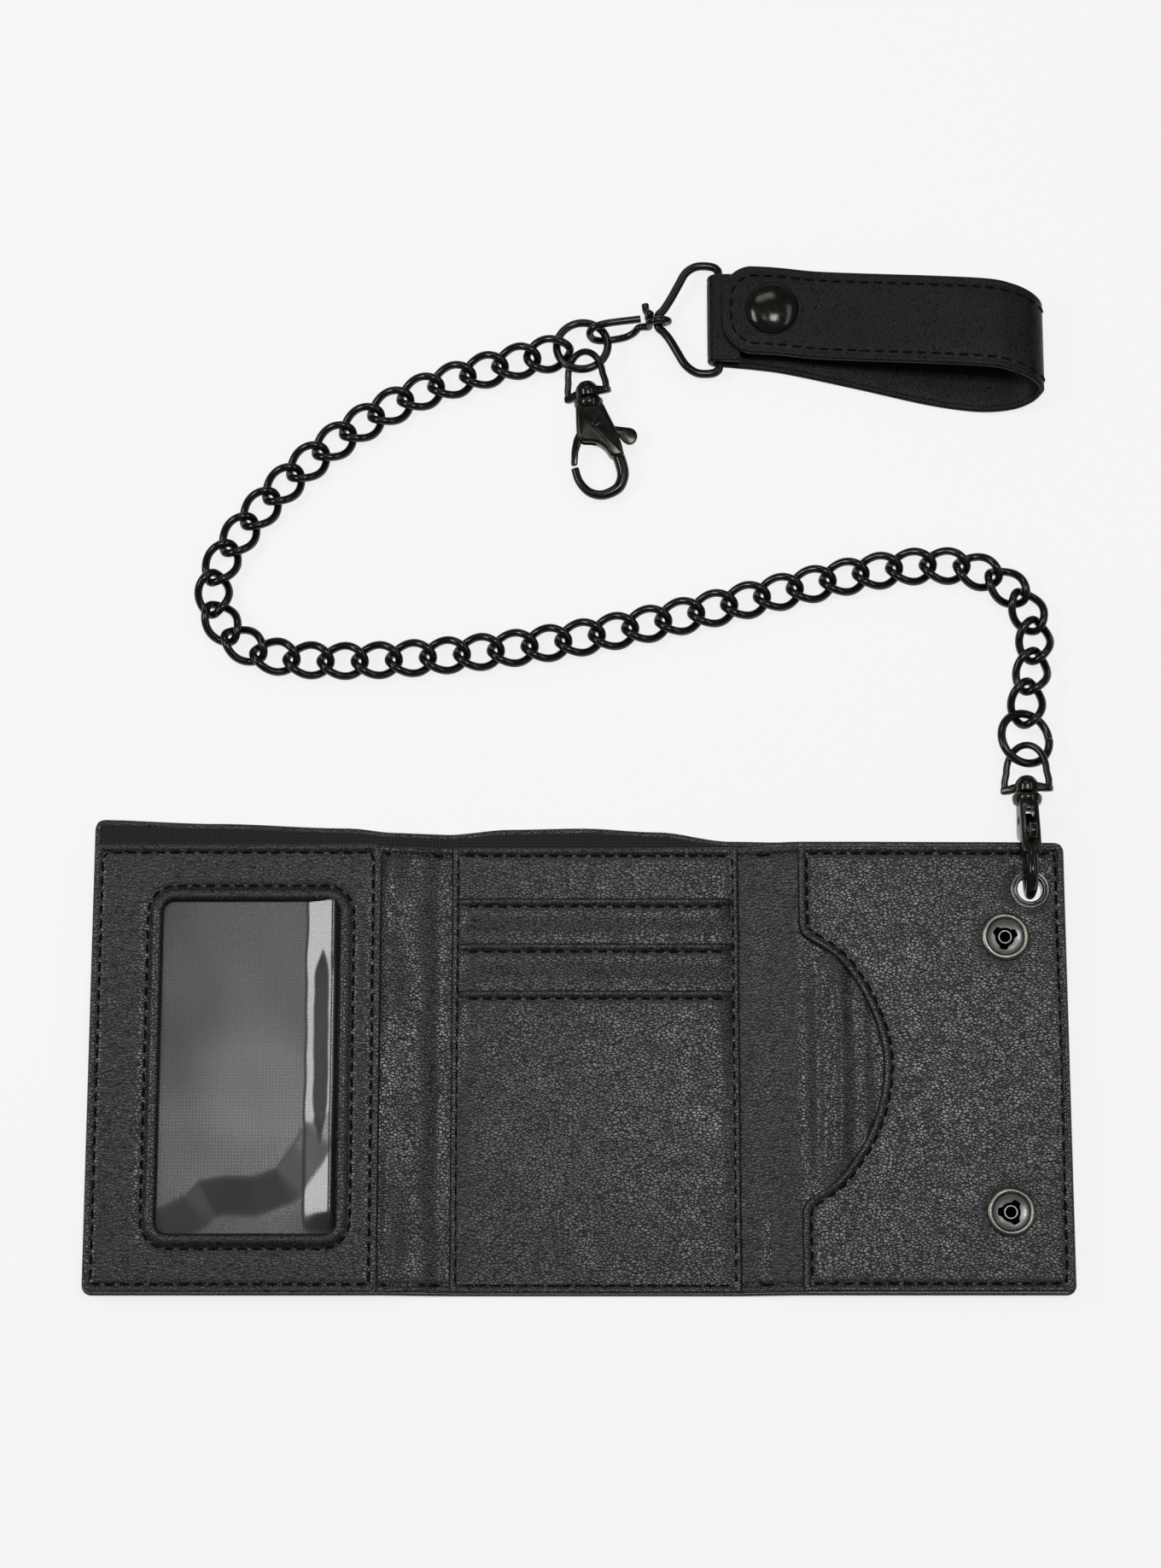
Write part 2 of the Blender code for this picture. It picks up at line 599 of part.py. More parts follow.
def hook(number, frame, roll, bodies):
    prefix = "hook_%d_" % number
    eye_body, main_body, lever_body = bodies
    hook_body(prefix + "body", main_body, frame)
    hook_pin(prefix + "pin", main_body, frame)
    hook_spring(prefix + "spring", main_body, frame)
    hook_lever(prefix + "lever", lever_body, frame)
    hook_eye(prefix + "eye", eye_body, frame, roll)


def ring(name, body, centre, tilt):
    turn = tilted(*tilt)
    steps = 20
    path = []
    for i in range(steps):
        angle = 2 * math.pi * i / steps
        flat = Vector((RING_RADIUS * math.cos(angle), RING_RADIUS * math.sin(angle), 0))
        path.append(Vector(centre) + turn @ flat)
    add(name, tube(path, RING_WIRE, 6, closed=True), body, LACQUER, 60)


# ---------------------------------------------------------------- chain
def link_spans():
    """Both ends of every link on the route, by distance along it."""
    curve = smooth_path(CHAIN_ROUTE, 12)
    travelled = [0.0]
    for a, b in zip(curve, curve[1:]):
        travelled.append(travelled[-1] + (b - a).length)

    def point_at(distance):
        for i in range(1, len(curve)):
            if travelled[i] >= distance:
                share = (distance - travelled[i - 1]) / (travelled[i] - travelled[i - 1])
                return curve[i - 1].lerp(curve[i], share)
        return curve[-1]

    pitch = (travelled[-1] - LINK_SHARE) / LINKS
    return [(point_at(i * pitch), point_at((i + 1) * pitch + LINK_SHARE)) for i in range(LINKS)]


def twisted_link(span, roll):
    """One curb link: an oval whose two ends are turned opposite ways about its long axis."""
    start, end = span
    centre = (start + end) / 2
    half = (end - start).length / 2
    along = (end - start).normalized()
    across = Vector((0, 0, 1)).cross(along).normalized()
    up = along.cross(across)
    steps = 10
    path = []
    for i in range(steps):
        angle = 2 * math.pi * i / steps
        x = half * math.cos(angle)
        y = LINK_WIDTH / 2 * math.sin(angle)
        turn = math.radians(LINK_TWIST * math.cos(angle) + roll)
        path.append(centre + along * x + across * y * math.cos(turn) + up * y * math.sin(turn))
    return tube(path, LINK_WIRE, 5, closed=True)


def weld_bead(one, two):
    """A small block that joins two neighbouring links of a segment into one body."""
    middle = (one + two) / 2
    along = (one - two).normalized()
    across = Vector((0, 0, 1)).cross(along).normalized()
    up = along.cross(across)
    bm = bmesh.new()
    bmesh.ops.create_cube(bm, size=1.5)
    turn = Matrix((along, across, up)).transposed()
    bmesh.ops.rotate(bm, cent=(0, 0, 0), matrix=turn, verts=bm.verts)
    bmesh.ops.translate(bm, verts=bm.verts, vec=middle)
    return bm


FIRST_ROLL, LAST_ROLL = -21.3, 0.0        # turn of the chain's end links about their length


def chain_segments(spans):
    """Links from ring 2 to ring 1; segment 1 is the one at the wallet."""
    first = LINKS % SEGMENT
    groups = [list(range(first))]
    groups += [list(range(i, i + SEGMENT)) for i in range(first, LINKS, SEGMENT)]
    return groups[::-1]


# ---------------------------------------------------------------- belt loop side
def wire_swivel(body):
    """Bent wire: a long loop through ring 2 and a coiled knot round the D-ring's point."""
    turn = tilted(61.5, 0, 8.0)
    half, length = 2.6, 13.4
    flat = [(half + half * math.cos(a), half * math.sin(a)) for a in
            [math.radians(90 + 180 * i / 6) for i in range(7)]]
    reach = length - half
    flat += [(half + reach * math.cos(a), half * math.sin(a)) for a in
             [math.radians(-90 + 180 * i / 10) for i in range(1, 10)]]
    origin = Vector(SWIVEL_LOOP)
    path = [origin + turn @ Vector((x, y, 0)) for x, y in flat]
    loop = add("wire_swivel", tube(path, 0.9, 6, closed=True), body, LACQUER, 60)
    knot = []
    centre = Vector(SWIVEL_KNOT)
    steps = 12
    for i in range(steps):
        angle = 2 * math.pi * i / steps
        knot.append(centre + Vector((2.5 * math.cos(angle), 0, 2.5 * math.sin(angle))))
    boolean(loop, cutter("wire_swivel_knot", tube(knot, 1.0, 6, closed=True), body), "UNION")


SWIVEL_LOOP = (-1.0, 178.8, 3.5)
SWIVEL_KNOT = (15.7, 182.0, 3.7)
D_RING_HEIGHT = 2.9           # at the bar; the point lies a little higher, in the knot


def d_ring(body):
    x0, y0, z0 = SWIVEL_KNOT
    outline = [(x0, y0 - 1.5), (x0, y0 + 1.5), (18.9, 187.8), (22.4, 194.4), (25.0, 196.5),
               (28.6, 196.5), (30.65, 195.2), (30.65, 182.5), (30.65, 170.0), (28.6, 168.7),
               (25.0, 168.8), (22.2, 170.9), (18.6, 177.0)]
    slope = (z0 - D_RING_HEIGHT) / (30.65 - x0)
    path = [(x, y, z0 - slope * (x - x0)) for x, y in outline]
    add("d_ring", tube(path, 1.05, 6, closed=True), body, LACQUER, 60)


STRAP_HINGE = (109.4, 173.6, 7.4)


def strap(base_body, flap_body):
    """A leather strip folded round the D-ring's bar and looped back over itself."""
    bar_x, bar_z = 30.65, D_RING_HEIGHT
    bend = 1.05 + GAP + STRAP_THICKNESS / 2 + 0.05
    fold = [(35.6, 182.4, bar_z + bend), (33.0, 182.5, bar_z + bend)]
    for i in range(7):
        angle = math.radians(90 + 30 * i)
        fold.append((bar_x + bend * math.cos(angle), 182.5, bar_z + bend * math.sin(angle)))
    base = fold + [(36.0, 182.0, 0.8), (48.0, 180.4, 0.8), (65.0, 176.6, 0.8), (82.0, 172.6, 0.8),
                   (94.0, 170.8, 1.1), (102.0, 170.9, 2.3), (106.6, 172.0, 4.4),
                   (108.4, 173.2, 6.8)]
    strip = add("strap_base", ribbon(base, STRAP_WIDTH, STRAP_THICKNESS), base_body,
                STRAP_LEATHER, 35)
    flap = [(108.4, 174.2, 8.0), (106.8, 175.6, 10.2), (102.6, 177.2, 12.0), (96.0, 178.6, 12.5),
            (82.0, 179.8, 11.3), (65.0, 181.3, 8.6), (54.0, 182.4, 7.0), (46.0, 183.4, 6.75),
            (38.5, 183.8, 6.85)]
    bm = ribbon(flap, STRAP_WIDTH, STRAP_THICKNESS)
    tab = [(x, 183.9 + y) for x, y in arc(41.0, 0, STRAP_WIDTH / 2, 125, 235, 8)]
    tip = prism([(42.0, 183.8 + STRAP_WIDTH / 2 - 0.3), *tab,
                 (42.0, 183.8 - STRAP_WIDTH / 2 + 0.3)], 6.05, 7.55)
    flap_obj = add("strap_flap", bm, flap_body, STRAP_LEATHER, 35)
    boolean(flap_obj, cutter("strap_flap_tab", tip, flap_body), "UNION")
    x, y = STRAP_SNAP
    post_hole = turned([(0, 4), (1.6, 4), (1.6, 9), (0, 9)], 12, (x, y, 0))
    boolean(flap_obj, cutter("strap_flap_hole", post_hole, flap_body))
    base_hole = turned([(0, -1), (1.4, -1), (1.4, 3), (0, 3)], 12, (x, y, 0))
    boolean(strip, cutter("strap_base_hole", base_hole, base_body))
    strap_snap(base_body, flap_body)


def strap_snap(base_body, flap_body):
    x, y = STRAP_SNAP
    cap = [(0, 5.5), (1.2, 5.5), (1.2, 7.95), (6.5, 7.95), (6.5, 8.4), (5.4, 9.2), (3.0, 9.8), (0, 10.0)]
    add("strap_snap_cap", turned(cap, 20, (x, y, 0)), flap_body, LACQUER, 40)
    socket = [(1.9, 4.3), (4.6, 4.3), (5.2, 4.7), (5.2, 5.6), (1.9, 5.6)]
    add("strap_snap_socket", turned(socket, 16, (x, y, 0)), flap_body, GUNMETAL, 40)
    stud = [(0.9, 1.9), (4.8, 1.9), (4.8, 2.4), (1.6, 2.7), (1.4, 3.2), (1.55, 3.8), (1.2, 4.4), (0.9, 4.4)]
    add("strap_snap_stud", turned(stud, 16, (x, y, 0)), base_body, GUNMETAL, 40)


# ---------------------------------------------------------------- the whole wallet
def left_crease_points():
    start = Vector((CENTRE_LEFT, 0, NEUTRAL))
    end = Vector((LEFT_CREASE, 0, LEFT_LIFT + NEUTRAL))
    return start, start.lerp(end, SPINE_SHARE), end


def build():
    inner_crease, middle_crease, outer_crease = left_crease_points()
    right_hinge = Vector((RIGHT_CREASE, 0, RIGHT_LIFT + NEUTRAL))
    centre_hinge = Vector((CENTRE_RIGHT, 0, NEUTRAL))
    pivot("spine_right", "right_panel", right_hinge)
    pivot("centre_panel", "spine_right", centre_hinge)
    pivot("spine_left_inner", "centre_panel", inner_crease)
    pivot("spine_left_outer", "spine_left_inner", middle_crease)
    pivot("left_panel", "spine_left_outer", outer_crease)
    right_panel()
    spine("spine_right", "spine_right", (centre_hinge.x, centre_hinge.z),
          (right_hinge.x, right_hinge.z), CENTRE_TOP, RIGHT_TOP)
    centre_panel()
    spine("spine_left_inner", "spine_left_inner", (middle_crease.x, middle_crease.z),
          (inner_crease.x, inner_crease.z), 55.8, CENTRE_TOP)
    spine("spine_left_outer", "spine_left_outer", (outer_crease.x, outer_crease.z),
          (middle_crease.x, middle_crease.z), LEFT_TOP, 55.8)
    left_panel()
    hardware()


def hardware():
    hook_1 = hook_frame((EYELET[0], 56.0, 6.4), (0, 0, 1), (0, 1, 0))
    axis_2 = tilted(3.0, 0, 7.0) @ Vector((0, 1, 0))
    eye_top = Vector(RING_2[0]) + Vector((0, -1.85, 0.75))
    hook_2 = hook_frame(eye_top - axis_2 * EYE_TOP, (axis_2.y, -axis_2.x, 0), axis_2)
    pivot("hook_1", "right_panel", (*EYELET, 6.35))
    pivot("hook_1_lever", "hook_1", to_world(hook_1, *HOOK_PIVOT))
    pivot("hook_1_eye", "hook_1", to_world(hook_1, 0, 6.0))
    hook(1, hook_1, 112.0, ("hook_1_eye", "hook_1", "hook_1_lever"))
    pivot("ring_1", "hook_1_eye", to_world(hook_1, 0, EYE_TOP))
    ring("ring_1", "ring_1", *RING_1)
    spans = link_spans()
    parent = "ring_1"
    for number, members in enumerate(chain_segments(spans), 1):
        name = "chain_%02d" % number
        pivot(name, parent, spans[members[-1]][1])
        links = []
        for i in members:
            roll = FIRST_ROLL if i == 0 else LAST_ROLL if i == LINKS - 1 else 0.0
            links.append(twisted_link(spans[i], roll))
        main = add(name, links[0], name, LACQUER, 60)
        for extra, link in enumerate(links[1:], 2):
            boolean(main, cutter("%s_link_%d" % (name, extra), link, name), "UNION")
        for joint, i in enumerate(members[1:], 1):
            bead = cutter("%s_bead_%d" % (name, joint), weld_bead(spans[i - 1][1], spans[i][0]), name)
            boolean(main, bead, "UNION")
        parent = name
    pivot("ring_2", parent, spans[0][0])
    ring("ring_2", "ring_2", *RING_2)
    pivot("hook_2_eye", "ring_2", to_world(hook_2, 0, EYE_TOP))
    pivot("hook_2", "hook_2_eye", to_world(hook_2, 0, 6.0))
    pivot("hook_2_lever", "hook_2", to_world(hook_2, *HOOK_PIVOT))
    hook(2, hook_2, 31.0, ("hook_2_eye", "hook_2", "hook_2_lever"))
    pivot("wire_swivel", "ring_2", SWIVEL_LOOP)
    wire_swivel("wire_swivel")
    pivot("d_ring", "wire_swivel", SWIVEL_KNOT)
    d_ring("d_ring")
    pivot("strap_base", "d_ring", (30.65, 182.5, D_RING_HEIGHT))
    pivot("strap_flap", "strap_base", STRAP_HINGE)
    strap("strap_base", "strap_flap")


build()
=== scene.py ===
"""Trifold chain wallet, open on a pale table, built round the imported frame.

Lengths in the modelling code are millimetres; meshes are made in metres. X runs across the open
wallet, Y up its height, and Z is height over the table.
"""
import math

import bmesh
import bpy
from mathutils import Matrix, Vector, noise


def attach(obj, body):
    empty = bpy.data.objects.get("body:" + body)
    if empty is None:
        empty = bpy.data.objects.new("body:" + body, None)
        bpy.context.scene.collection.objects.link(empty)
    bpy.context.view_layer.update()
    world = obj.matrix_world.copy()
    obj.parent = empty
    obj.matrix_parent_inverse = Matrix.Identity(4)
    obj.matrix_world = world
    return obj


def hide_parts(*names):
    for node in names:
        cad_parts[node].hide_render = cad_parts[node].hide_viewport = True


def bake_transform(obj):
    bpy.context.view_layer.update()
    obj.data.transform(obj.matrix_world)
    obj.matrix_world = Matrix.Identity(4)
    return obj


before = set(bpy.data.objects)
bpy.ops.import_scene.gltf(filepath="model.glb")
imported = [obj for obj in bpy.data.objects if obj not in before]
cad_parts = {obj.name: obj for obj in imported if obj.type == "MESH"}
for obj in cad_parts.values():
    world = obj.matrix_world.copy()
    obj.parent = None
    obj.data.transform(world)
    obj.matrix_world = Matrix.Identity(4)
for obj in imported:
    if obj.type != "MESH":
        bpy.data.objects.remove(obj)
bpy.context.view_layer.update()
MM = 0.001


# ---- sizes
BOTTOM, INNER_TOP = -55.3, 50.4
LEFT_EDGE, LEFT_CREASE = -119.0, -49.0
CENTRE_LEFT, CENTRE_RIGHT = -34.0, 34.2
RIGHT_CREASE, RIGHT_EDGE = 47.2, 111.4
LEFT_Z, CENTRE_Z, RIGHT_Z = 3.7, 0.5, 4.2          # middle of the outer leather
# Undersides of the inner layers, above that middle; the window's are above LEFT_Z.
LINING_UP, LEFT_FOLD_UP, RIGHT_FOLD_UP, CARD_UP, POCKET_UP = 0.72, 1.2, 1.3, 1.9, 2.65
BACKING_UP, FILM_UP, FRAME_UP = 1.2, 2.4, 2.9
SPINE_SPLIT = -43.75                                # between the left fold's two ribs
EYELET = (102.8, 39.6)
SOCKETS = ((96.6, 28.2), (96.3, -36.3))
STUDS = ((-72.5, 28.2), (-72.2, -36.3))
# The shell's sloping top edge, as (x, y).
TOP_EDGE = ((-119.0, 57.0), (-90.0, 56.0), (-58.7, 54.9), (-48.0, 53.9), (-36.0, 53.9),
            (-20.0, 55.2), (-3.0, 55.5), (14.7, 54.6), (32.4, 52.3), (45.0, 51.6), (59.0, 51.6),
            (95.0, 51.5), (111.4, 51.3))
WINDOW = (-101.8, -60.4, -41.2, 36.8)               # left, right, bottom, top
SLOTS = ((38.0, 27.2), (27.2, 16.0), (16.0, None))  # each card layer's mouth, and the next one's
CARD_SIDES = (-33.9, 34.1)
EYELET_HOLE, SOCKET_HOLE = 3.0, 4.3
THREAD_PITCH, STITCH_INSET, FOOT_INSET = 3.4, 2.05, 2.5
# A turned edge: how far in it rolls, how proud it stands, and how deep the stitches pull it.
EDGE_ROLL, EDGE_RISE, EDGE_GROOVE = 0.75, 0.28, 0.22
POCKET_LEFT, POCKET_RIGHT = 48.0, 110.9

# From ring 2 to ring 1, along the middle of the chain.
CHAIN_ROUTE = [
    (-6.0, 174.9, 3.4), (-16.3, 172.4, 3.4), (-28.0, 169.4, 2.7), (-43.5, 163.8, 2.5),
    (-57.5, 155.7, 2.5), (-70.5, 145.7, 2.5), (-82.0, 133.6, 2.5), (-91.0, 120.8, 2.5),
    (-93.3, 113.0, 2.5), (-91.2, 105.7, 2.5), (-85.0, 99.8, 2.5), (-77.0, 97.0, 2.5),
    (-60.0, 96.2, 2.5), (-43.0, 97.0, 2.5), (-18.0, 99.6, 2.5), (5.8, 103.8, 2.5),
    (29.6, 109.5, 2.5), (52.9, 115.4, 2.5), (68.6, 118.8, 2.5), (84.0, 120.4, 2.5),
    (92.0, 119.4, 2.5), (99.2, 116.2, 2.5), (104.8, 110.5, 2.5), (107.1, 102.9, 2.5),
    (106.0, 96.4, 3.5), (104.2, 90.5, 4.6), (103.0, 79.9, 4.6)]
LINKS, SEGMENT, LINK_SHARE = 43, 4, 2.6             # links, links in a body, neighbours' overlap
LINK_WIDTH, LINK_WIRE, LINK_TWIST = 7.5, 0.98, 45.0
FIRST_ROLL = -21.3                                  # turns the first link clear of ring 2
RING_RADIUS, RING_WIRE = 6.3, 1.0
# Centre, and tilt about X and Y in degrees.
RING_1 = ((102.9, 76.4, 5.6), (-7.5, 20.0))
RING_2 = ((-3.0, 175.7, 3.52), (-7.3, -3.7))
# Hook 1 stands on edge in the eyelet; hook 2 lies on the table. Rolls are of their eyes.
HOOK_1_PIN, HOOK_1_ROLL = (EYELET[0], 56.0, 6.4), 112.0
HOOK_2_LEAN, HOOK_2_ROLL = (3.0, 0, 7.0), 31.0
EYE_TOP = 18.6                                      # of a hook's eye, over its lever's pin
KNOT = (15.7, 182.0, 3.7)                           # the wire's coil, round the D-ring's point
BAR_X, BAR_Z = 30.65, 2.9                           # the D-ring's straight side
D_RING_WIRE = 1.05
STRAP_WIDTH, STRAP_THICK = 22.6, 1.5
STRAP_CAP = (43.5, 183.9, 0)

# name, place, aimed at, size, power, size across (metres and watts)
LIGHTS = (("overhead", (0.145, 0.12, 1.0), None, 0.21, 1.6, 0.22),
          ("card", (-0.178, 0.0815, 1.0), None, 0.075, 0.080, 0.047),
          ("card_far", (-0.178, 0.175, 1.0), None, 0.075, 0.065, 0.14),
          ("far", (-0.15, 0.85, 0.85), (0, 0, 0), 0.6, 0.9, 0.25),
          ("left", (-0.70, 0.12, 0.80), (0, 0, 0), 0.5, 2.2, 0.20),
          ("right", (0.70, 0.12, 0.80), (0, 0, 0), 0.9, 0.9, 0.20))
CAMERA_EYE, CAMERA_TARGET = (-0.00342, -0.09848, 0.78281), (-0.00342, 0.06648, 0.0)
CAMERA_LENS, CAMERA_SENSOR = 76.55, 36.0


# ---- small tools
def lerp(a, b, t):
    return a + (b - a) * t


def smooth(a, b, value):
    t = min(1.0, max(0.0, (value - a) / (b - a)))
    return t * t * (3 - 2 * t)


def along_table(table, x):
    """Smooth curve through (x, value) pairs."""
    if x <= table[0][0]:
        return table[0][1]
    for (xa, ya), (xb, yb) in zip(table, table[1:]):
        if x <= xb:
            return lerp(ya, yb, smooth(xa, xb, x))
    return table[-1][1]


def bump(value, centre, width):
    return math.exp(-((value - centre) / width) ** 2)


def wave(x, y, scale, seed=0.0):
    return noise.noise(Vector((x / scale, y / scale, seed)))


def smooth_path(points, per_span, closed=False):
    """Catmull-Rom curve through the points."""
    points = [Vector(p) for p in points]
    if closed:
        ends = [points[-1]] + points + points[:2]
    else:
        ends = [2 * points[0] - points[1]] + points + [2 * points[-1] - points[-2]]
    curve = []
    for a, b, c, d in zip(ends, ends[1:], ends[2:], ends[3:]):
        for i in range(per_span):
            t = i / per_span
            curve.append(0.5 * (2 * b + (c - a) * t + (2 * a - 5 * b + 4 * c - d) * t * t
                                + (3 * b - a - 3 * c + d) * t ** 3))
    return curve if closed else curve + [points[-1]]


def tilted(x_degrees, y_degrees, z_degrees=0.0):
    return (Matrix.Rotation(math.radians(z_degrees), 3, "Z")
            @ Matrix.Rotation(math.radians(y_degrees), 3, "Y")
            @ Matrix.Rotation(math.radians(x_degrees), 3, "X"))


def add_object(name, bm):
    """Link an object made from a bmesh in millimetres."""
    bmesh.ops.recalc_face_normals(bm, faces=bm.faces)
    bmesh.ops.scale(bm, verts=bm.verts, vec=(MM, MM, MM))
    mesh = bpy.data.meshes.new(name)
    bm.to_mesh(mesh)
    bm.free()
    obj = bpy.data.objects.new(name, mesh)
    bpy.context.collection.objects.link(obj)
    return obj


def shade(obj, angle):
    obj.data.shade_smooth()
    obj.data.set_sharp_from_angle(angle=math.radians(angle))


def make(name, bm, look, body, replaces=(), angle=50.0):
    """Turn a bmesh into a piece that rides on a body; with no body, it rides on none."""
    obj = add_object(name, bm)
    shade(obj, angle)
    obj.data.materials.append(look)
    if body is not None:
        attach(obj, body)
    for node in ([replaces] if isinstance(replaces, str) else replaces):
        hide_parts(node)
    return obj


def cut(obj, bm, operation="DIFFERENCE"):
    """Boolean with a throw-away solid, applied at once."""
    tool = add_object("tool", bm)
    modifier = obj.modifiers.new("cut", "BOOLEAN")
    modifier.operation = operation
    modifier.solver = "EXACT"
    modifier.object = tool
    graph = bpy.context.evaluated_depsgraph_get()
    mesh = bpy.data.meshes.new_from_object(obj.evaluated_get(graph))
    obj.modifiers.clear()
    obj.data = mesh
    bpy.data.objects.remove(tool)
    shade(obj, 38)


def skin(bm, rings, close_rings=False, cap=False):
    pairs = list(zip(rings, rings[1:]))
    if close_rings:
        pairs.append((rings[-1], rings[0]))
    count = len(rings[0])
    for one, two in pairs:
        for i in range(count):
            j = (i + 1) % count
            bm.faces.new((one[i], one[j], two[j], two[i]))
    if cap:
        bm.faces.new(list(reversed(rings[0])))
        bm.faces.new(rings[-1])


def turned(profile, steps, centre, axis=None):
    """Surface of revolution from (radius, height) points; radius 0 closes at a pole."""
    bm = bmesh.new()
    rings = []
    for radius, height in profile:
        if radius == 0:
            rings.append([bm.verts.new((0, 0, height))])
            continue
        angles = [2 * math.pi * i / steps for i in range(steps)]
        rings.append([bm.verts.new((radius * math.cos(a), radius * math.sin(a), height))
                      for a in angles])
    pairs = list(zip(rings, rings[1:]))
    if profile[0][0] > 0:
        pairs.append((rings[-1], rings[0]))
    for one, two in pairs:
        for i in range(steps):
            j = (i + 1) % steps
            corners = [one[i % len(one)], one[j % len(one)], two[j % len(two)], two[i % len(two)]]
            bm.faces.new(list(dict.fromkeys(corners)))
    if axis is not None:
        turn = Vector((0, 0, 1)).rotation_difference(Vector(axis)).to_matrix()
        bmesh.ops.rotate(bm, cent=(0, 0, 0), matrix=turn, verts=bm.verts)
    bmesh.ops.translate(bm, verts=bm.verts, vec=centre)
    return bm


def rounded(points, radius, steps=4):
    """Round the corners of an outline; a profile's points on its axis stay sharp."""
    out = []
    for i, point in enumerate(points):
        corner = Vector(point)
        if point[0] == 0:
            out.append(tuple(corner))
            continue
        one = Vector(points[i - 1]) - corner
        two = Vector(points[(i + 1) % len(points)]) - corner
        reach = min(radius, one.length * 0.45, two.length * 0.45)
        a, b = corner + one.normalized() * reach, corner + two.normalized() * reach
        out += [tuple(a.lerp(corner, k / steps).lerp(corner.lerp(b, k / steps), k / steps))
                for k in range(steps + 1)]
    return out


def tube(path, radius, sides, closed=False, bm=None):
    """A round wire along a path; radius may be one value for each point."""
    bm = bm or bmesh.new()
    path = [Vector(p) for p in path]
    count = len(path)
    radii = [radius] * count if isinstance(radius, (int, float)) else radius
    tangents = []
    for i in range(count):
        before = path[i - 1] if i or closed else path[0]
        after = path[(i + 1) % count] if i + 1 < count or closed else path[-1]
        tangents.append((after - before).normalized())
    side = tangents[0].orthogonal().normalized()
    sides_at = []
    for i in range(count):
        if i:
            side = tangents[i - 1].rotation_difference(tangents[i]) @ side
        side = (side - side.dot(tangents[i]) * tangents[i]).normalized()
        sides_at.append(side)
    drift = 0.0
    if closed:
        end = tangents[-1].rotation_difference(tangents[0]) @ sides_at[-1]
        drift = end.angle(sides_at[0])
        if end.cross(sides_at[0]).dot(tangents[0]) < 0:
            drift = -drift
    angles = [2 * math.pi * k / sides for k in range(sides)]
    rings = []
    for i in range(count):
        across = Matrix.Rotation(drift * i / count, 3, tangents[i]) @ sides_at[i]
        up = tangents[i].cross(across)
        rings.append([bm.verts.new(path[i] + radii[i] * (across * math.cos(a) + up * math.sin(a)))
                      for a in angles])
    skin(bm, rings, close_rings=closed, cap=not closed)
    return bm


class Walk:
    """Places on a line of points, by the distance travelled along it."""

    def __init__(self, points):
        self.points = points
        self.marks = [0.0]
        for a, b in zip(points, points[1:]):
            self.marks.append(self.marks[-1] + (b - a).length)
        self.length = self.marks[-1]

    def span(self, distance):
        """Index of the point that ends the span at a distance, and the share of it passed."""
        last = len(self.points) - 1
        i = next((k for k in range(1, last) if self.marks[k] >= distance), last)
        return i, (distance - self.marks[i - 1]) / max(1e-6, self.marks[i] - self.marks[i - 1])

    def at(self, distance):
        i, share = self.span(distance)
        return self.points[i - 1].lerp(self.points[i], share)


def from_line(x, y, line):
    """Distance of a point from a line of (x, y) points."""
    gaps = []
    for (ax, ay), (bx, by) in zip(line, line[1:]):
        share = ((x - ax) * (bx - ax) + (y - ay) * (by - ay)) / math.hypot(bx - ax, by - ay) ** 2
        share = min(max(share, 0.0), 1.0)
        gaps.append(math.hypot(x - lerp(ax, bx, share), y - lerp(ay, by, share)))
    return min(gaps)


def grid_faces(bm, rows):
    for a, b in zip(rows, rows[1:]):
        for j in range(len(a) - 1):
            bm.faces.new((a[j], b[j], b[j + 1], a[j + 1]))


def closed_sheet(bm, top, bottom):
    """Faces of a sheet from its two grids of vertices, which share those of a finished edge."""
    def face(*corners):
        corners = list(dict.fromkeys(corners))
        if len(corners) > 2:
            bm.faces.new(corners)

    last_i, last_j = len(top) - 1, len(top[0]) - 1
    for i in range(last_i):
        for j in range(last_j):
            face(top[i][j], top[i + 1][j], top[i + 1][j + 1], top[i][j + 1])
            face(bottom[i][j + 1], bottom[i + 1][j + 1], bottom[i + 1][j], bottom[i][j])
    for i in (0, last_i):
        for j in range(last_j):
            face(top[i][j], top[i][j + 1], bottom[i][j + 1], bottom[i][j])
    for j in (0, last_j):
        for i in range(last_i):
            face(top[i][j], top[i + 1][j], bottom[i + 1][j], bottom[i][j])


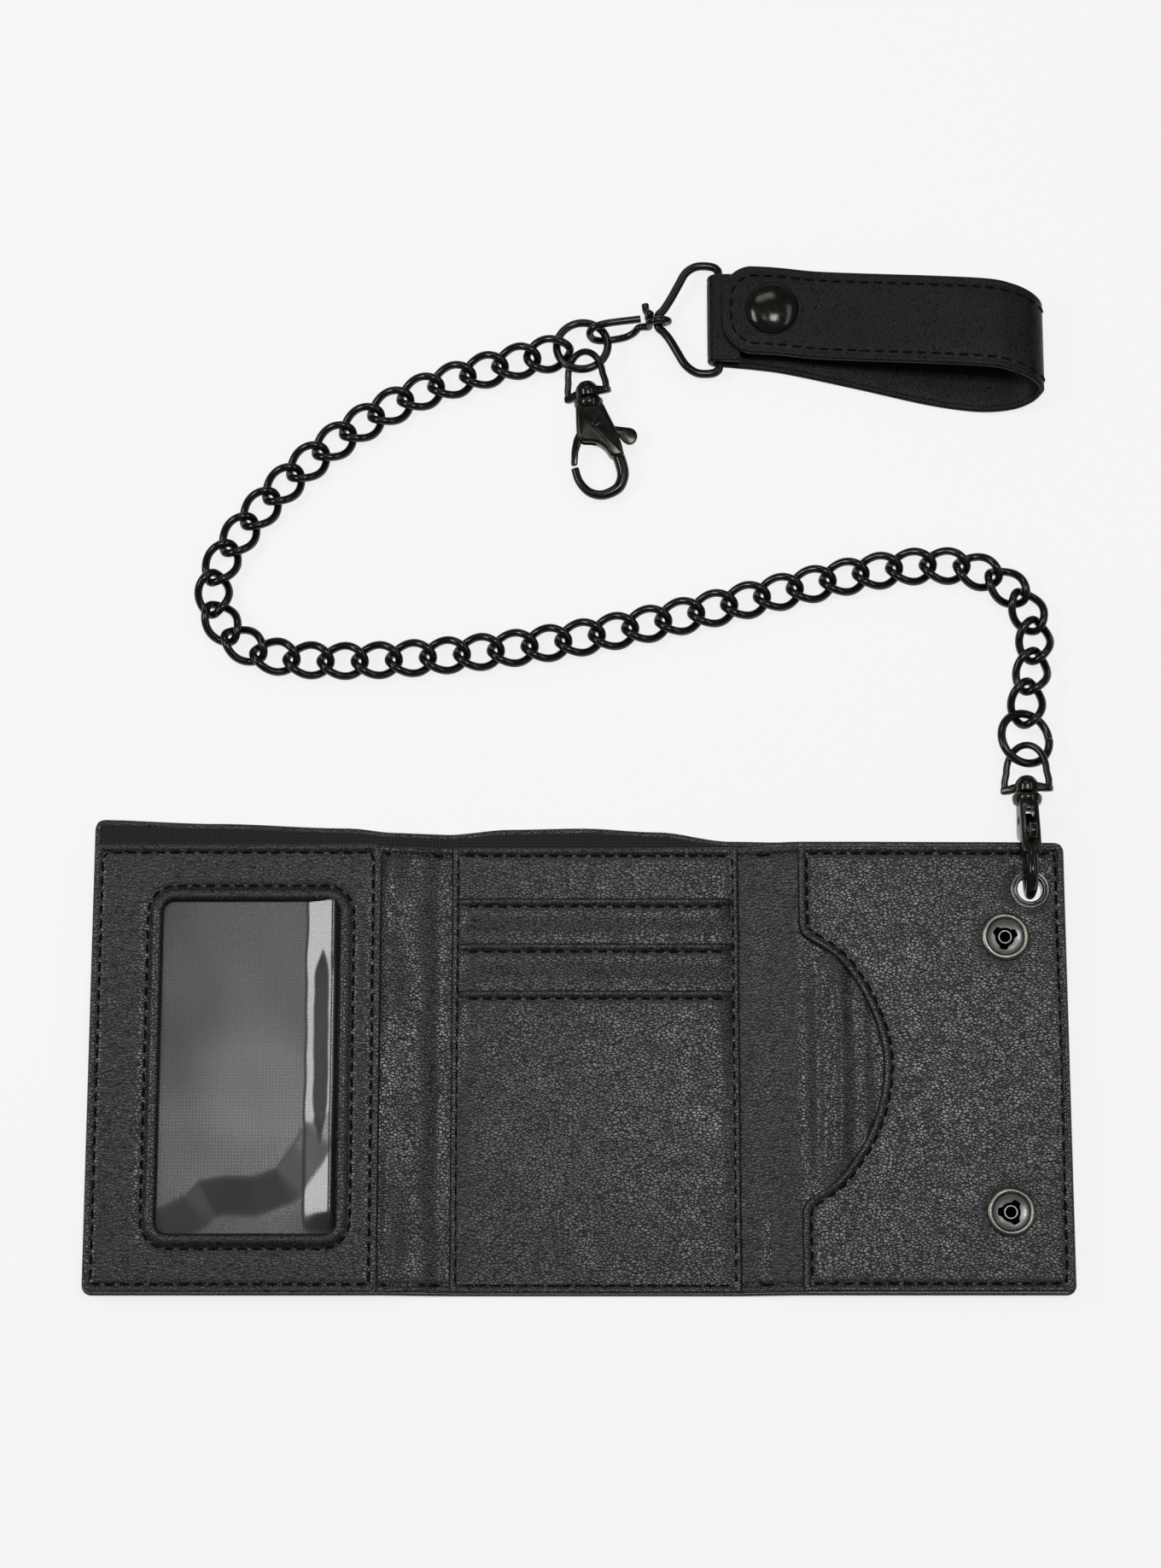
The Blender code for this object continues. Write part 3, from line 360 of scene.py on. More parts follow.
# ---- materials
class Nodes:
    """Short way to write a procedural material."""

    def __init__(self, name):
        self.material = bpy.data.materials.new(name)
        self.material.use_nodes = True
        self.tree = self.material.node_tree
        self.shader = self.tree.nodes["Principled BSDF"]
        self.coordinates = self.tree.nodes.new("ShaderNodeTexCoord").outputs["Object"]

    def new(self, kind, **inputs):
        node = self.tree.nodes.new("ShaderNode" + kind)
        for key, value in inputs.items():
            if hasattr(node, key):
                setattr(node, key, value)
            else:
                self.link(value, node.inputs[key.replace("_", " ")])
        return node

    def link(self, value, socket):
        if isinstance(value, bpy.types.NodeSocket):
            self.tree.links.new(value, socket)
        else:
            socket.default_value = value

    def set(self, **inputs):
        for key, value in inputs.items():
            self.link(value, self.shader.inputs[key.replace("_", " ")])

    def maths(self, operation, a, b=0.0, c=0.0):
        node = self.tree.nodes.new("ShaderNodeMath")
        node.operation = operation
        for value, socket in zip((a, b, c), node.inputs):
            self.link(value, socket)
        return node.outputs[0]

    def noise(self, scale, detail=3.0, stretch=None):
        vector = self.coordinates
        if stretch:
            mapping = self.new("Mapping", Vector=vector)
            mapping.inputs["Scale"].default_value = stretch
            vector = mapping.outputs[0]
        return self.new("TexNoise", Vector=vector, Scale=scale, Detail=detail).outputs["Fac"]

    def ramp(self, value, stops):
        node = self.new("ValToRGB", Fac=value)
        elements = node.color_ramp.elements
        while len(elements) < len(stops):
            elements.new(0.5)
        for element, (place, colour) in zip(elements, stops):
            element.position = place
            element.color = (*colour, 1)
        return node.outputs[0]

    def range(self, value, low, high, a=0.0, b=1.0):
        node = self.new("MapRange", Value=value)
        for key, number in (("From Min", low), ("From Max", high), ("To Min", a), ("To Max", b)):
            node.inputs[key].default_value = number
        return node.outputs[0]

    def bump(self, height, strength, distance, normal=None):
        node = self.new("Bump", Height=height, Strength=strength, Distance=distance)
        if normal:
            self.link(normal, node.inputs["Normal"])
        return node.outputs[0]


def leather(name, dark, light, rough, cell=0.00100, depth=0.000045, strength=1.0, shine=0.75):
    """Pebble-grained leather: flat-topped cells, dull creases between them darkened by painted
    shade, and fine pores.

    The cells' level tops keep a soft sheen over the whole piece, and the creases break it up.
    """
    n = Nodes(name)
    wobble = n.new("TexNoise", Vector=n.coordinates, Scale=420.0, Detail=1.0)
    shift = n.new("VectorMath", operation="SCALE")
    n.link(wobble.outputs["Color"], shift.inputs[0])
    shift.inputs["Scale"].default_value = 0.0010
    moved = n.new("VectorMath", operation="ADD")
    n.link(n.coordinates, moved.inputs[0])
    n.link(shift.outputs[0], moved.inputs[1])
    turn = n.new("Mapping", Vector=moved.outputs[0])
    turn.inputs["Rotation"].default_value = (0, 0, math.radians(35))
    turn.inputs["Scale"].default_value = (1.0, 1.6, 1.0)
    cells = n.new("TexVoronoi", Vector=turn.outputs[0], Scale=1 / cell, feature="DISTANCE_TO_EDGE")
    pebble = n.range(cells.outputs["Distance"], 0.0, 0.16)
    pores = n.noise(3600.0, 2.0)
    height = n.maths("MULTIPLY_ADD", pores, 0.10, pebble)
    soft = n.noise(70.0, 3.0)
    normal = n.bump(height, strength, depth)
    n.set(Normal=n.bump(soft, 0.35, 0.0008, normal))
    # Base colour: random tone, plus painted shade that darkens the creases between the cells.
    tone = n.maths("MULTIPLY_ADD", n.noise(140.0, 4.0), 0.35, n.maths("MULTIPLY", pebble, 0.65))
    n.set(Base_Color=n.ramp(tone, [(0.15, dark), (0.9, light)]))
    n.set(Roughness=n.range(n.noise(260.0, 3.0), 0.3, 0.7, rough - 0.06, rough + 0.08))
    n.set(Specular_IOR_Level=n.range(pebble, 0.1, 0.9, 0.45 * shine, 1.5 * shine))
    return n.material


def woven(name, dark, light, pitch=0.00085, shine=0.5):
    """Plain woven lining: crossed threads."""
    n = Nodes(name)
    turn = n.new("Mapping", Vector=n.coordinates)
    turn.inputs["Rotation"].default_value = (0, 0, math.radians(45))
    split = n.new("SeparateXYZ", Vector=turn.outputs[0])
    scale = 2 * math.pi / pitch
    warp = n.maths("SINE", n.maths("MULTIPLY", split.outputs["X"], scale))
    weft = n.maths("SINE", n.maths("MULTIPLY", split.outputs["Y"], scale))
    weave = n.maths("MULTIPLY", warp, weft)
    fuzz = n.noise(2600.0, 2.0)
    height = n.maths("MULTIPLY_ADD", fuzz, 0.5, weave)
    n.set(Normal=n.bump(height, 0.7, 0.00012))
    tone = n.range(n.maths("MULTIPLY_ADD", fuzz, 0.6, n.range(weave, -1, 1)), 0.2, 1.2)
    n.set(Base_Color=n.ramp(tone, [(0.1, dark), (0.9, light)]))
    n.set(Roughness=0.75, Specular_IOR_Level=shine, Sheen_Weight=0.3 * shine)
    return n.material


def metal(name, dark, light, rough):
    """Plated metal with faint polishing marks and cloudy tone."""
    n = Nodes(name)
    cloud = n.noise(180.0, 4.0)
    n.set(Base_Color=n.ramp(cloud, [(0.3, dark), (0.72, light)]))
    marks = n.noise(900.0, 3.0, stretch=(1, 6, 1))
    n.set(Roughness=n.range(marks, 0.3, 0.7, rough * 0.75, rough * 1.3))
    n.set(Metallic=1.0, Normal=n.bump(n.noise(1500.0, 2.0), 0.12, 0.00004))
    return n.material


def lacquer(name):
    """Gloss black lacquer, brownish where thin, with a slight orange peel."""
    n = Nodes(name)
    thin = n.noise(420.0, 3.0)
    n.set(Base_Color=n.ramp(thin, [(0.4, (0.0030, 0.0030, 0.0032)), (0.8, (0.010, 0.009, 0.006))]))
    n.set(Roughness=n.range(n.noise(700.0, 2.0), 0.3, 0.7, 0.13, 0.22))
    facing = n.new("LayerWeight", Blend=0.5).outputs["Facing"]
    n.set(Specular_IOR_Level=n.range(facing, 0.25, 0.85, 0.60, 0.06))
    n.set(Specular_Tint=(1.0, 0.96, 0.86, 1))
    n.set(Normal=n.bump(n.noise(650.0, 2.0), 0.06, 0.00010))
    return n.material


def film(name):
    """Clear flexible vinyl: mostly seen as its reflections, with a faint haze."""
    n = Nodes(name)
    haze = n.noise(38.0, 3.0)
    n.set(Base_Color=(0.030, 0.032, 0.037, 1), Roughness=n.range(haze, 0.35, 0.75, 0.30, 0.38))
    n.set(Normal=n.bump(n.noise(60.0, 1.0), 0.05, 0.0008))
    n.set(Alpha=n.range(haze, 0.2, 0.8, 0.70, 0.76), Specular_IOR_Level=1.0)
    n.set(Coat_Weight=1.0, Coat_IOR=1.7, Coat_Roughness=0.16)
    return n.material


LEATHER = leather("leather", (0.0022, 0.0023, 0.0025), (0.0090, 0.0095, 0.0115), 0.36)
STRAP = leather("strap_leather", (0.0022, 0.0022, 0.0021), (0.0050, 0.0050, 0.0048), 0.42,
                cell=0.0007, depth=0.00002, strength=0.8, shine=0.30)
FABRIC = woven("lining", (0.0010, 0.0010, 0.0011), (0.022, 0.0225, 0.024), 0.00115)
BACKING = woven("window_backing", (0.04, 0.042, 0.048), (0.26, 0.27, 0.30), 0.0011)
# Painted shade: matte near-black for the inside of the snap sockets' hole and notches.
HOLE_SHADE = woven("painted_hole_shade", (0.001, 0.001, 0.001), (0.002, 0.002, 0.002), shine=0.0)
THREAD = woven("thread", (0.0008, 0.0008, 0.0009), (0.003, 0.003, 0.0033), 0.0003, shine=0.15)
LACQUER = lacquer("lacquer")
NICKEL = metal("antique_nickel", (0.20, 0.185, 0.155), (0.36, 0.34, 0.30), 0.30)
BRIGHT = metal("bright_nickel", (0.42, 0.42, 0.42), (0.60, 0.60, 0.59), 0.40)
GUNMETAL = metal("gunmetal", (0.10, 0.095, 0.09), (0.20, 0.19, 0.175), 0.20)
STEEL = metal("steel", (0.40, 0.40, 0.39), (0.58, 0.58, 0.57), 0.25)
VINYL = film("vinyl")


# ---- leather and lining sheets
def base_z(x):
    """Middle of the outer leather: flat panels joined by sloping folds, creases eased."""
    def raw(at):
        if at <= LEFT_CREASE:
            return LEFT_Z
        if at < CENTRE_LEFT:
            return lerp(LEFT_Z, CENTRE_Z, (at - LEFT_CREASE) / (CENTRE_LEFT - LEFT_CREASE))
        if at <= CENTRE_RIGHT:
            return CENTRE_Z
        if at < RIGHT_CREASE:
            return lerp(CENTRE_Z, RIGHT_Z, (at - CENTRE_RIGHT) / (RIGHT_CREASE - CENTRE_RIGHT))
        return RIGHT_Z
    return sum(raw(x + 0.5 * k) for k in range(-3, 4)) / 7


def top_edge(x):
    return along_table(TOP_EDGE, x)


# Grid lines of a turned edge, by distance from it.
FINE = (0.0, 0.1, 0.3, 0.6, 0.95, 1.3, 1.6, 1.85, 2.1, 2.4, 2.8, 3.4, 4.4)


def lines(a, b, step, fine_a=False, fine_b=False, extra=()):
    """Grid lines from a to b, close together at the ends that are finished edges."""
    marks = {round(a, 4), round(b, 4)}
    low, high = a, b
    if fine_a:
        marks |= {round(a + d, 4) for d in FINE}
        low = a + FINE[-1]
    if fine_b:
        marks |= {round(b - d, 4) for d in FINE}
        high = b - FINE[-1]
    count = max(1, round((high - low) / step))
    marks |= {round(lerp(low, high, i / count), 4) for i in range(count + 1)}
    for centre, reach in extra:
        kept = {m for m in marks if abs(m - centre) > reach or m in (round(a, 4), round(b, 4))}
        steps = max(4, round(reach * 2 / 0.4))
        marks = kept | {round(centre - reach + 2 * reach * i / steps, 4)
                        for i in range(steps + 1) if a < centre - reach + 2 * reach * i / steps < b}
    return sorted(marks)


def rolled(d, thick):
    """Height of a turned edge over the sheet's underside, d from the edge."""
    if d < EDGE_ROLL:
        half = thick * 0.5
        return half + (half + EDGE_RISE) * math.sqrt(max(0.0, 1 - (1 - d / EDGE_ROLL) ** 2))
    rise = EDGE_RISE * (1 - smooth(EDGE_ROLL, 2.2, d))
    return thick + rise - EDGE_GROOVE * bump(d, STITCH_INSET, 0.45)


def raw_edge(d, thick):
    """The same for a cut edge, with only its corner softened."""
    soft = 0.3
    if d < soft:
        half = thick * 0.5
        return half + half * math.sqrt(max(0.0, 1 - (1 - d / soft) ** 2))
    return thick


def sheet(name, look, body, xs, ys, under, thick, edges, warp=None, extra=None, profile=rolled,
          corner=0.0, **options):
    """A sheet on a grid of xs and ys.

    under(x) is its underside, edges names its finished sides, extra(x, y) is added to its top,
    and warp(x, y, d) moves a point whose distance from a finished side is d.
    """
    x0, x1, y0, y1 = xs[0], xs[-1], ys[0], ys[-1]
    bm = bmesh.new()
    top, bottom = [], []
    for x in xs:
        top_row, bottom_row = [], []
        for y in ys:
            gaps = {"left": x - x0, "right": x1 - x, "bottom": y - y0, "top": y1 - y}
            d = min([gaps[e] for e in edges] or [99.0])
            px, py = x, y
            if corner:
                px, py = round_corner(x, y, x0, x1, y0, y1, corner, edges)
            if warp:
                px, py, d = warp(px, py, d)
            height = profile(d, thick)
            if extra:
                height += extra(px, py) * smooth(0.0, 1.0, d)
            low = thick - profile(d, thick) if d < EDGE_ROLL else 0.0
            z = under(px)
            top_row.append(bm.verts.new((px, py, z + height)))
            bottom_row.append(top_row[-1] if d <= 1e-6
                              else bm.verts.new((px, py, z + max(0.0, low))))
        top.append(top_row)
        bottom.append(bottom_row)
    closed_sheet(bm, top, bottom)
    return make(name, bm, look, body, **options)


def round_corner(x, y, x0, x1, y0, y1, radius, edges):
    """Carry a square corner onto a round one."""
    cx = x0 + radius if x < x0 + radius and "left" in edges else None
    cx = x1 - radius if x > x1 - radius and "right" in edges else cx
    cy = y0 + radius if y < y0 + radius and "bottom" in edges else None
    cy = y1 - radius if y > y1 - radius and "top" in edges else cy
    if cx is None or cy is None:
        return x, y
    u, v = (x - cx) / radius, (y - cy) / radius
    return (cx + radius * u * math.sqrt(1 - v * v / 2), cy + radius * v * math.sqrt(1 - u * u / 2))


def stitches(name, body, path, height):
    """A row of short threads sunk in the leather along an (x, y) path."""
    walk = Walk([Vector((p[0], p[1], 0)) for p in path])
    count = max(1, round(walk.length / THREAD_PITCH))
    step = walk.length / count
    bm = bmesh.new()
    for k in range(count):
        a, b = walk.at(step * (k + 0.13)), walk.at(step * (k + 0.87))
        row, radii = [], []
        for share, radius, sink in ((0, 0.12, 0.30), (0.12, 0.30, 0.06), (0.5, 0.34, 0.0),
                                    (0.88, 0.30, 0.06), (1, 0.12, 0.30)):
            p = a.lerp(b, share)
            row.append(Vector((p.x, p.y, height(p.x, p.y) - sink)))
            radii.append(radius)
        tube(row, radii, 6, bm=bm)
    return make(name, bm, THREAD, body)


def rounded_rectangle(x0, x1, y0, y1, radius, side, arc):
    """Anticlockwise outline with the same number of points whatever its size."""
    radius = max(radius, 0.02)
    out = []
    corners = ((x1, y0, -90), (x1, y1, 0), (x0, y1, 90), (x0, y0, 180))
    for index, (cx, cy, start) in enumerate(corners):
        ix = cx + (-radius if cx == x1 else radius)
        iy = cy + (-radius if cy == y1 else radius)
        for k in range(arc + 1):
            a = math.radians(start + 90 * k / arc)
            out.append((ix + radius * math.cos(a), iy + radius * math.sin(a)))
        nx, ny, begin = corners[(index + 1) % 4]
        tx = nx + (-radius if nx == x1 else radius) + radius * math.cos(math.radians(begin))
        ty = ny + (-radius if ny == y1 else radius) + radius * math.sin(math.radians(begin))
        lx, ly = out[-1]
        out += [(lerp(lx, tx, k / side), lerp(ly, ty, k / side)) for k in range(1, side)]
    return out


# ---- wallet
MID_OUTER = (LEFT_CREASE + SPINE_SPLIT) / 2
MID_INNER = (SPINE_SPLIT + CENTRE_LEFT) / 2
MID_RIGHT = (CENTRE_RIGHT + RIGHT_CREASE) / 2
# Pieces of a layer that runs over the folds: name, from, to, bodies left and right of the crease.
STRIPS = (
    ("left", LEFT_EDGE, MID_OUTER, "left_panel", "spine_left_outer", LEFT_CREASE),
    ("fold_left", MID_OUTER, MID_INNER, "spine_left_outer", "spine_left_inner", SPINE_SPLIT),
    ("centre_left", MID_INNER, 0.0, "spine_left_inner", "centre_panel", CENTRE_LEFT),
    ("centre_right", 0.0, MID_RIGHT, "centre_panel", "spine_right", CENTRE_RIGHT),
    ("right", MID_RIGHT, RIGHT_EDGE, "spine_right", "right_panel", RIGHT_CREASE))
SHELL_NODES = {"left": ("outer_shell_left",), "fold_left": ("spine_left_outer",),
               "centre_left": ("outer_shell_centre", "spine_left_inner"),
               "centre_right": ("spine_right",), "right": ("outer_shell_right",)}
LINING_NODES = {"left": "bill_lining_left", "centre_left": "bill_lining_centre",
                "right": "bill_lining_right"}


def crossing(piece, crease, offset):
    """Bake a piece's transform into its mesh."""
    z = (base_z(crease) + offset) * MM
    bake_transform(piece)


def punch(obj, x, y, radius):
    """A round hole right through a piece."""
    cut(obj, turned([(0, -2), (radius, -2), (radius, 14), (0, 14)], 48, (x, y, 0)))


def top_warp(reference, drop=0.0):
    """Carry a straight top edge at the reference height onto the shell's sloping one."""
    def warp(x, y, d):
        return x, y + (top_edge(x) - drop - reference) * smooth(reference - 14, reference, y), d
    return warp


def outer_layers():
    """Outer leather and its lining, in strips that meet between the creases."""
    shell_top, lining_top, lining_drop = 52.0, 50.8, 1.4
    for name, x0, x1, one, two, crease in STRIPS:
        first, last = name == "left", name == "right"
        edges = ["bottom", "top"] + (["left"] if first else []) + (["right"] if last else [])
        bends = [(crease, 3.0)] if name != "fold_left" else []
        piece = sheet("outer_leather_" + name, LEATHER, None,
                      lines(x0, x1, 2.4, first, last, bends),
                      lines(BOTTOM, shell_top, 2.6, True, True), lambda x: base_z(x) - 0.5, 1.0,
                      edges, warp=top_warp(shell_top), corner=2.4 if first or last else 0.0,
                      replaces=SHELL_NODES[name])
        a = x0 + 1.5 if first else x0
        b = x1 - 1.5 if last else x1
        fabric = sheet("lining_" + name, FABRIC, None, lines(a, b, 3.0, extra=bends),
                       lines(BOTTOM + 1.6, lining_top, 6.0), lambda x: base_z(x) + LINING_UP,
                       0.35, [], warp=top_warp(lining_top, lining_drop), profile=raw_edge,
                       replaces=LINING_NODES.get(name, ()))
        for layer, height in ((piece, 0.0), (fabric, 0.9)):
            if last:
                punch(layer, *EYELET, EYELET_HOLE)
            crossing(layer, crease, height)


# Heights of the window frame's leather over its underside, by distance from the window's edge.
WINDOW_LIP = ((0, 0.45), (0.12, 0.80), (0.45, 1.22), (1.0, 1.52), (1.6, 1.55), (2.2, 1.38),
              (2.8, 1.02), (3.25, 0.70), (3.6, 0.62), (3.95, 0.74), (4.6, 0.96), (5.8, 1.02))


def left_inner():
    """Fabric pocket back, clear window and the leather frame with its turned edges."""
    x0, x1, y0, y1 = -118.5, -50.3, BOTTOM + 0.4, INNER_TOP
    wx0, wx1, wy0, wy1 = WINDOW
    under = LEFT_Z + FRAME_UP
    bm = bmesh.new()
    rings = []

    def ring(box, radius, height):
        outline = rounded_rectangle(*box, radius, 44, 6)
        rings.append([bm.verts.new((x, y, under + height(x, y))) for x, y in outline])

    def around_window(d):
        return wx0 - d, wx1 + d, wy0 - d, wy1 + d

    def inside_border(d):
        return x0 + d, x1 - d, y0 + d, y1 - d

    for d, lip in WINDOW_LIP:
        ring(around_window(d), 2.6 + d,
             lambda x, y: lip + 0.10 * wave(x, y, 14, 3) * smooth(4, 6, d))
    for d in reversed(FINE):
        ring(inside_border(d), 2.2 - d, lambda x, y: rolled(d, 0.9))
    for d in (0.4, 6.0):
        ring(inside_border(d), 2.2 - d, lambda x, y: 0.02)
    ring(around_window(0.3), 2.9, lambda x, y: 0.02)
    skin(bm, rings, close_rings=True)
    make("window_frame", bm, LEATHER, "left_panel", replaces="id_window_frame")
    around = rounded_rectangle(*around_window(3.6), 6.2, 12, 6)
    stitches("window_stitching", "left_panel", around + around[:1], lambda x, y: under + 0.66)
    sx0, sx1, sy0, sy1 = inside_border(STITCH_INSET)
    stitches("frame_stitching", "left_panel",
             [(sx1, sy0), (sx0, sy0), (sx0, sy1), (sx1, sy1), (sx1, sy0)],
             lambda x, y: under + 0.72)
    back = bmesh.new()
    grid_faces(back, [[back.verts.new((x, y, LEFT_Z + BACKING_UP + 0.15 * wave(x, y, 30, 5)))
                       for y in range(-54, 50, 4)] for x in range(-116, -50, 4)])
    bmesh.ops.solidify(back, geom=back.faces, thickness=0.3)
    make("window_backing", back, BACKING, "left_panel", replaces="id_pocket_back")
    window_film()


# Where the film's slack foot begins.
LOBE = ((-106.0, -38.0), (-95.3, -32.8), (-92.1, -29.3), (-85.6, -28.3), (-80.0, -28.6),
        (-74.3, -26.5), (-70.2, -20.9), (-67.4, -15.4), (-56.0, -10.0))


def below_lobe(x, y):
    """How far a point of the film lies below the line where its slack begins."""
    return 0.0 if y >= along_table(LOBE, x) else from_line(x, y, LOBE)


def window_film():
    """Soft clear film: a fold standing along its right edge and a slack hollow at the foot."""
    x0, x1, y0, y1 = -106.0, -56.4, -45.6, 41.0
    bm = bmesh.new()

    def height(x, y):
        rise = 0.30 * max(0.0, x + 67.8 - 0.4 * wave(0, y, 9, 31))
        reach = 1.5 * smooth(26, 19, y) * smooth(-21, -10, y)
        rise -= 0.22 * min(max(0.0, x + 64.2 + reach - 0.3 * wave(0, y, 7, 37)), 2 * reach)
        fold = rise * smooth(-41, -36, y) * smooth(41, 37, y) * smooth(-60.3, -61.6, x)
        slack = 0.10 * min(below_lobe(x, y), 8.0)
        return fold - slack + 0.12 * wave(x, y, 19, 7)

    columns, across = 120, 110
    ys = [lerp(y0, y1, j / across) for j in range(across + 1)]
    grid_faces(bm, [[bm.verts.new((x, y, LEFT_Z + FILM_UP + height(x, y))) for y in ys]
                    for x in (lerp(x0, x1, i / columns) for i in range(columns + 1))])
    make("window_film", bm, VINYL, "left_panel", replaces="id_window", angle=80)


def left_fold():
    """Inner leather over the left fold, with creases that come from folding."""
    def creases(x, y):
        wrinkle = 0.35 * bump(x, -46.5, 1.6) * bump(y, -38.0, 12.0)
        wrinkle -= 0.45 * bump(x, -48.4, 1.0) * bump(y, -35.0, 15.0)
        wrinkle += 0.30 * bump(x, -41.0, 3.0) - 0.25 * bump(x, -37.2, 1.3)
        wrinkle += 0.30 * bump(x, -47.5, 2.0) * bump(y, 45.0, 3.0)
        return wrinkle + 0.30 * wave(x, y / 3.0, 5, 11)

    parts = (("outer", -54.0, MID_OUTER, "left_panel", "spine_left_outer", LEFT_CREASE),
             ("middle", MID_OUTER, MID_INNER, "spine_left_outer", "spine_left_inner", SPINE_SPLIT),
             ("inner", MID_INNER, -31.0, "spine_left_inner", "centre_panel", CENTRE_LEFT))
    for name, x0, x1, one, two, crease in parts:
        piece = sheet("left_fold_leather_" + name, LEATHER, None, lines(x0, x1, 0.8), fold_ys(),
                      lambda x: base_z(x) + LEFT_FOLD_UP, 0.75, ["bottom", "top"],
                      extra=creases)
        crossing(piece, crease, 1.6)
    for body, a, b in (("left_panel", -50.0, -48.0), ("spine_left_inner", -41.9, -35.6)):
        fold_stitches(body, a, b, LEFT_FOLD_UP + 0.65)


def right_fold():
    """Inner leather over the right fold and on under the pocket, buckled in the pocket's mouth."""
    def soft_folds(x, y):
        open_part = smooth(-33, -24, y) * smooth(28, 18, y)
        ridge = 1.4 * bump(x, 57.6 - 0.0016 * (y + 4) ** 2, 2.5)
        valley = -0.60 * bump(x, 52.4, 2.0)
        second = 0.5 * bump(x, 62.6, 1.6)
        low = 0.35 * bump(x, 41.0, 1.3) * bump(y, -45.0, 7.0)
        return open_part * (ridge + valley + second) + low + 0.15 * wave(x, y / 2.5, 7, 13)

    piece = sheet("right_fold_leather", LEATHER, None, lines(32.6, MID_RIGHT, 0.8), fold_ys(),
                  lambda x: base_z(x) + RIGHT_FOLD_UP, 0.8, ["bottom", "top"],
                  extra=soft_folds)
    crossing(piece, CENTRE_RIGHT, 1.7)
    piece = sheet("pocket_backing_leather", LEATHER, None,
                  lines(MID_RIGHT, POCKET_RIGHT, 1.0, False, True), fold_ys(),
                  lambda x: base_z(x) + RIGHT_FOLD_UP, 0.8, ["bottom", "top", "right"],
                  extra=soft_folds, corner=2.0, replaces="pocket_backing")
    punch(piece, *EYELET, EYELET_HOLE)
    crossing(piece, RIGHT_CREASE, 1.7)
    fold_stitches("spine_right", 37.6, 42.4, RIGHT_FOLD_UP + 0.65)


def fold_ys():
    return lines(BOTTOM + 0.5, INNER_TOP, 2.2, True, True)


def fold_stitches(body, a, b, height):
    """Short rows at the top and bottom of one rib of a fold."""
    for where, y in (("top", INNER_TOP - STITCH_INSET), ("bottom", BOTTOM + FOOT_INSET)):
        stitches("%s_%s_stitching" % (body, where), body, [(a, y), (b, y)],
                 lambda x, y: base_z(x) + height)


def centre_inner():
    """Card panel with three card layers on it."""
    x0, x1 = CARD_SIDES
    sheet("card_panel_leather", LEATHER, "centre_panel", lines(x0, x1, 2.2, True, True),
          lines(BOTTOM + 0.4, INNER_TOP, 2.2, True, True), lambda x: CENTRE_Z + CARD_UP, 0.85,
          ["left", "right", "bottom", "top"], extra=lambda x, y: 0.10 * wave(x, y, 12, 17),
          replaces="card_panel")
    for index, name in enumerate(("card_slot_top", "card_slot_middle", "card_pocket_front")):
        card_layer(name, index, *SLOTS[index])
    for side, x in (("left", x0 + 1.35), ("right", x1 - 1.35)):
        stitches("card_panel_%s_stitching" % side, "centre_panel",
                 [(x, BOTTOM + FOOT_INSET), (x, 48.3)], lambda x, y: CENTRE_Z + 2.72)
    for where, y in (("top", INNER_TOP - STITCH_INSET), ("bottom", BOTTOM + 2.45)):
        stitches("card_panel_%s_stitching" % where, "centre_panel", [(x0 + 2.4, y), (x1 - 2.4, y)],
                 lambda x, y: CENTRE_Z + 2.6)


def card_layer(name, index, top, following):
    """One card layer: its turned mouth stands proud, and it falls away under the next one."""
    x0, x1 = CARD_SIDES
    low = BOTTOM + 2.6 if following is None else following - 4.0
    bend = top - 32.0 if following is None else following + 0.8
    flat, level, proud = 2.3, 2.75, 3.55            # sides, under the next layer, mouth

    def face(y):
        return lerp(level, proud, smooth(bend, top - 3.0, y))

    bm = bmesh.new()
    xs = lines(x0 + 1.6, x1 - 1.6, 1.6)
    upper, under = [], []
    for x in xs:
        side = smooth(0, 2.6, x - xs[0]) * smooth(0, 2.6, xs[-1] - x)
        upper.append([])
        under.append([])
        for y in lines(low, top, 1.6, False, True):
            d, z = top - y, lerp(flat, face(y), side)
            swell = 0.16 * wave(x, y, 11, 19 + index)
            if following is None:
                swell += 0.35 * bump(y, -18, 26)
            upper[-1].append(bm.verts.new((x, y, z + rolled(d, 0.8) + swell * smooth(0, 6, d))))
            under[-1].append(upper[-1][-1] if d < 1e-6 else bm.verts.new((x, y, z + 0.05)))
    closed_sheet(bm, upper, under)
    make(name + "_leather", bm, LEATHER, "centre_panel", replaces=name)
    row = top - STITCH_INSET
    stitches(name + "_stitching", "centre_panel", [(x0 + 3.6, row), (x1 - 3.6, row)],
             lambda x, y: face(y) + 0.60)


# The side pocket's mouth, from the top edge to the bottom one.
NOTCH = [(p.x, p.y) for p in smooth_path(
    [(48.0, 54.0, 0), (48.0, 36.0, 0), (48.2, 30.2, 0), (49.6, 28.0, 0), (58.0, 22.0, 0),
     (65.0, 10.0, 0), (67.5, -2.2, 0), (64.8, -15.5, 0), (57.4, -27.6, 0), (50.0, -33.0, 0),
     (48.2, -35.2, 0), (48.0, -40.0, 0), (48.0, -58.0, 0)], 6)]


def notch_x(y):
    for (ax, ay), (bx, by) in zip(NOTCH, NOTCH[1:]):
        if by <= y <= ay:
            return lerp(ax, bx, (ay - y) / max(1e-6, ay - by))
    return NOTCH[0][0]


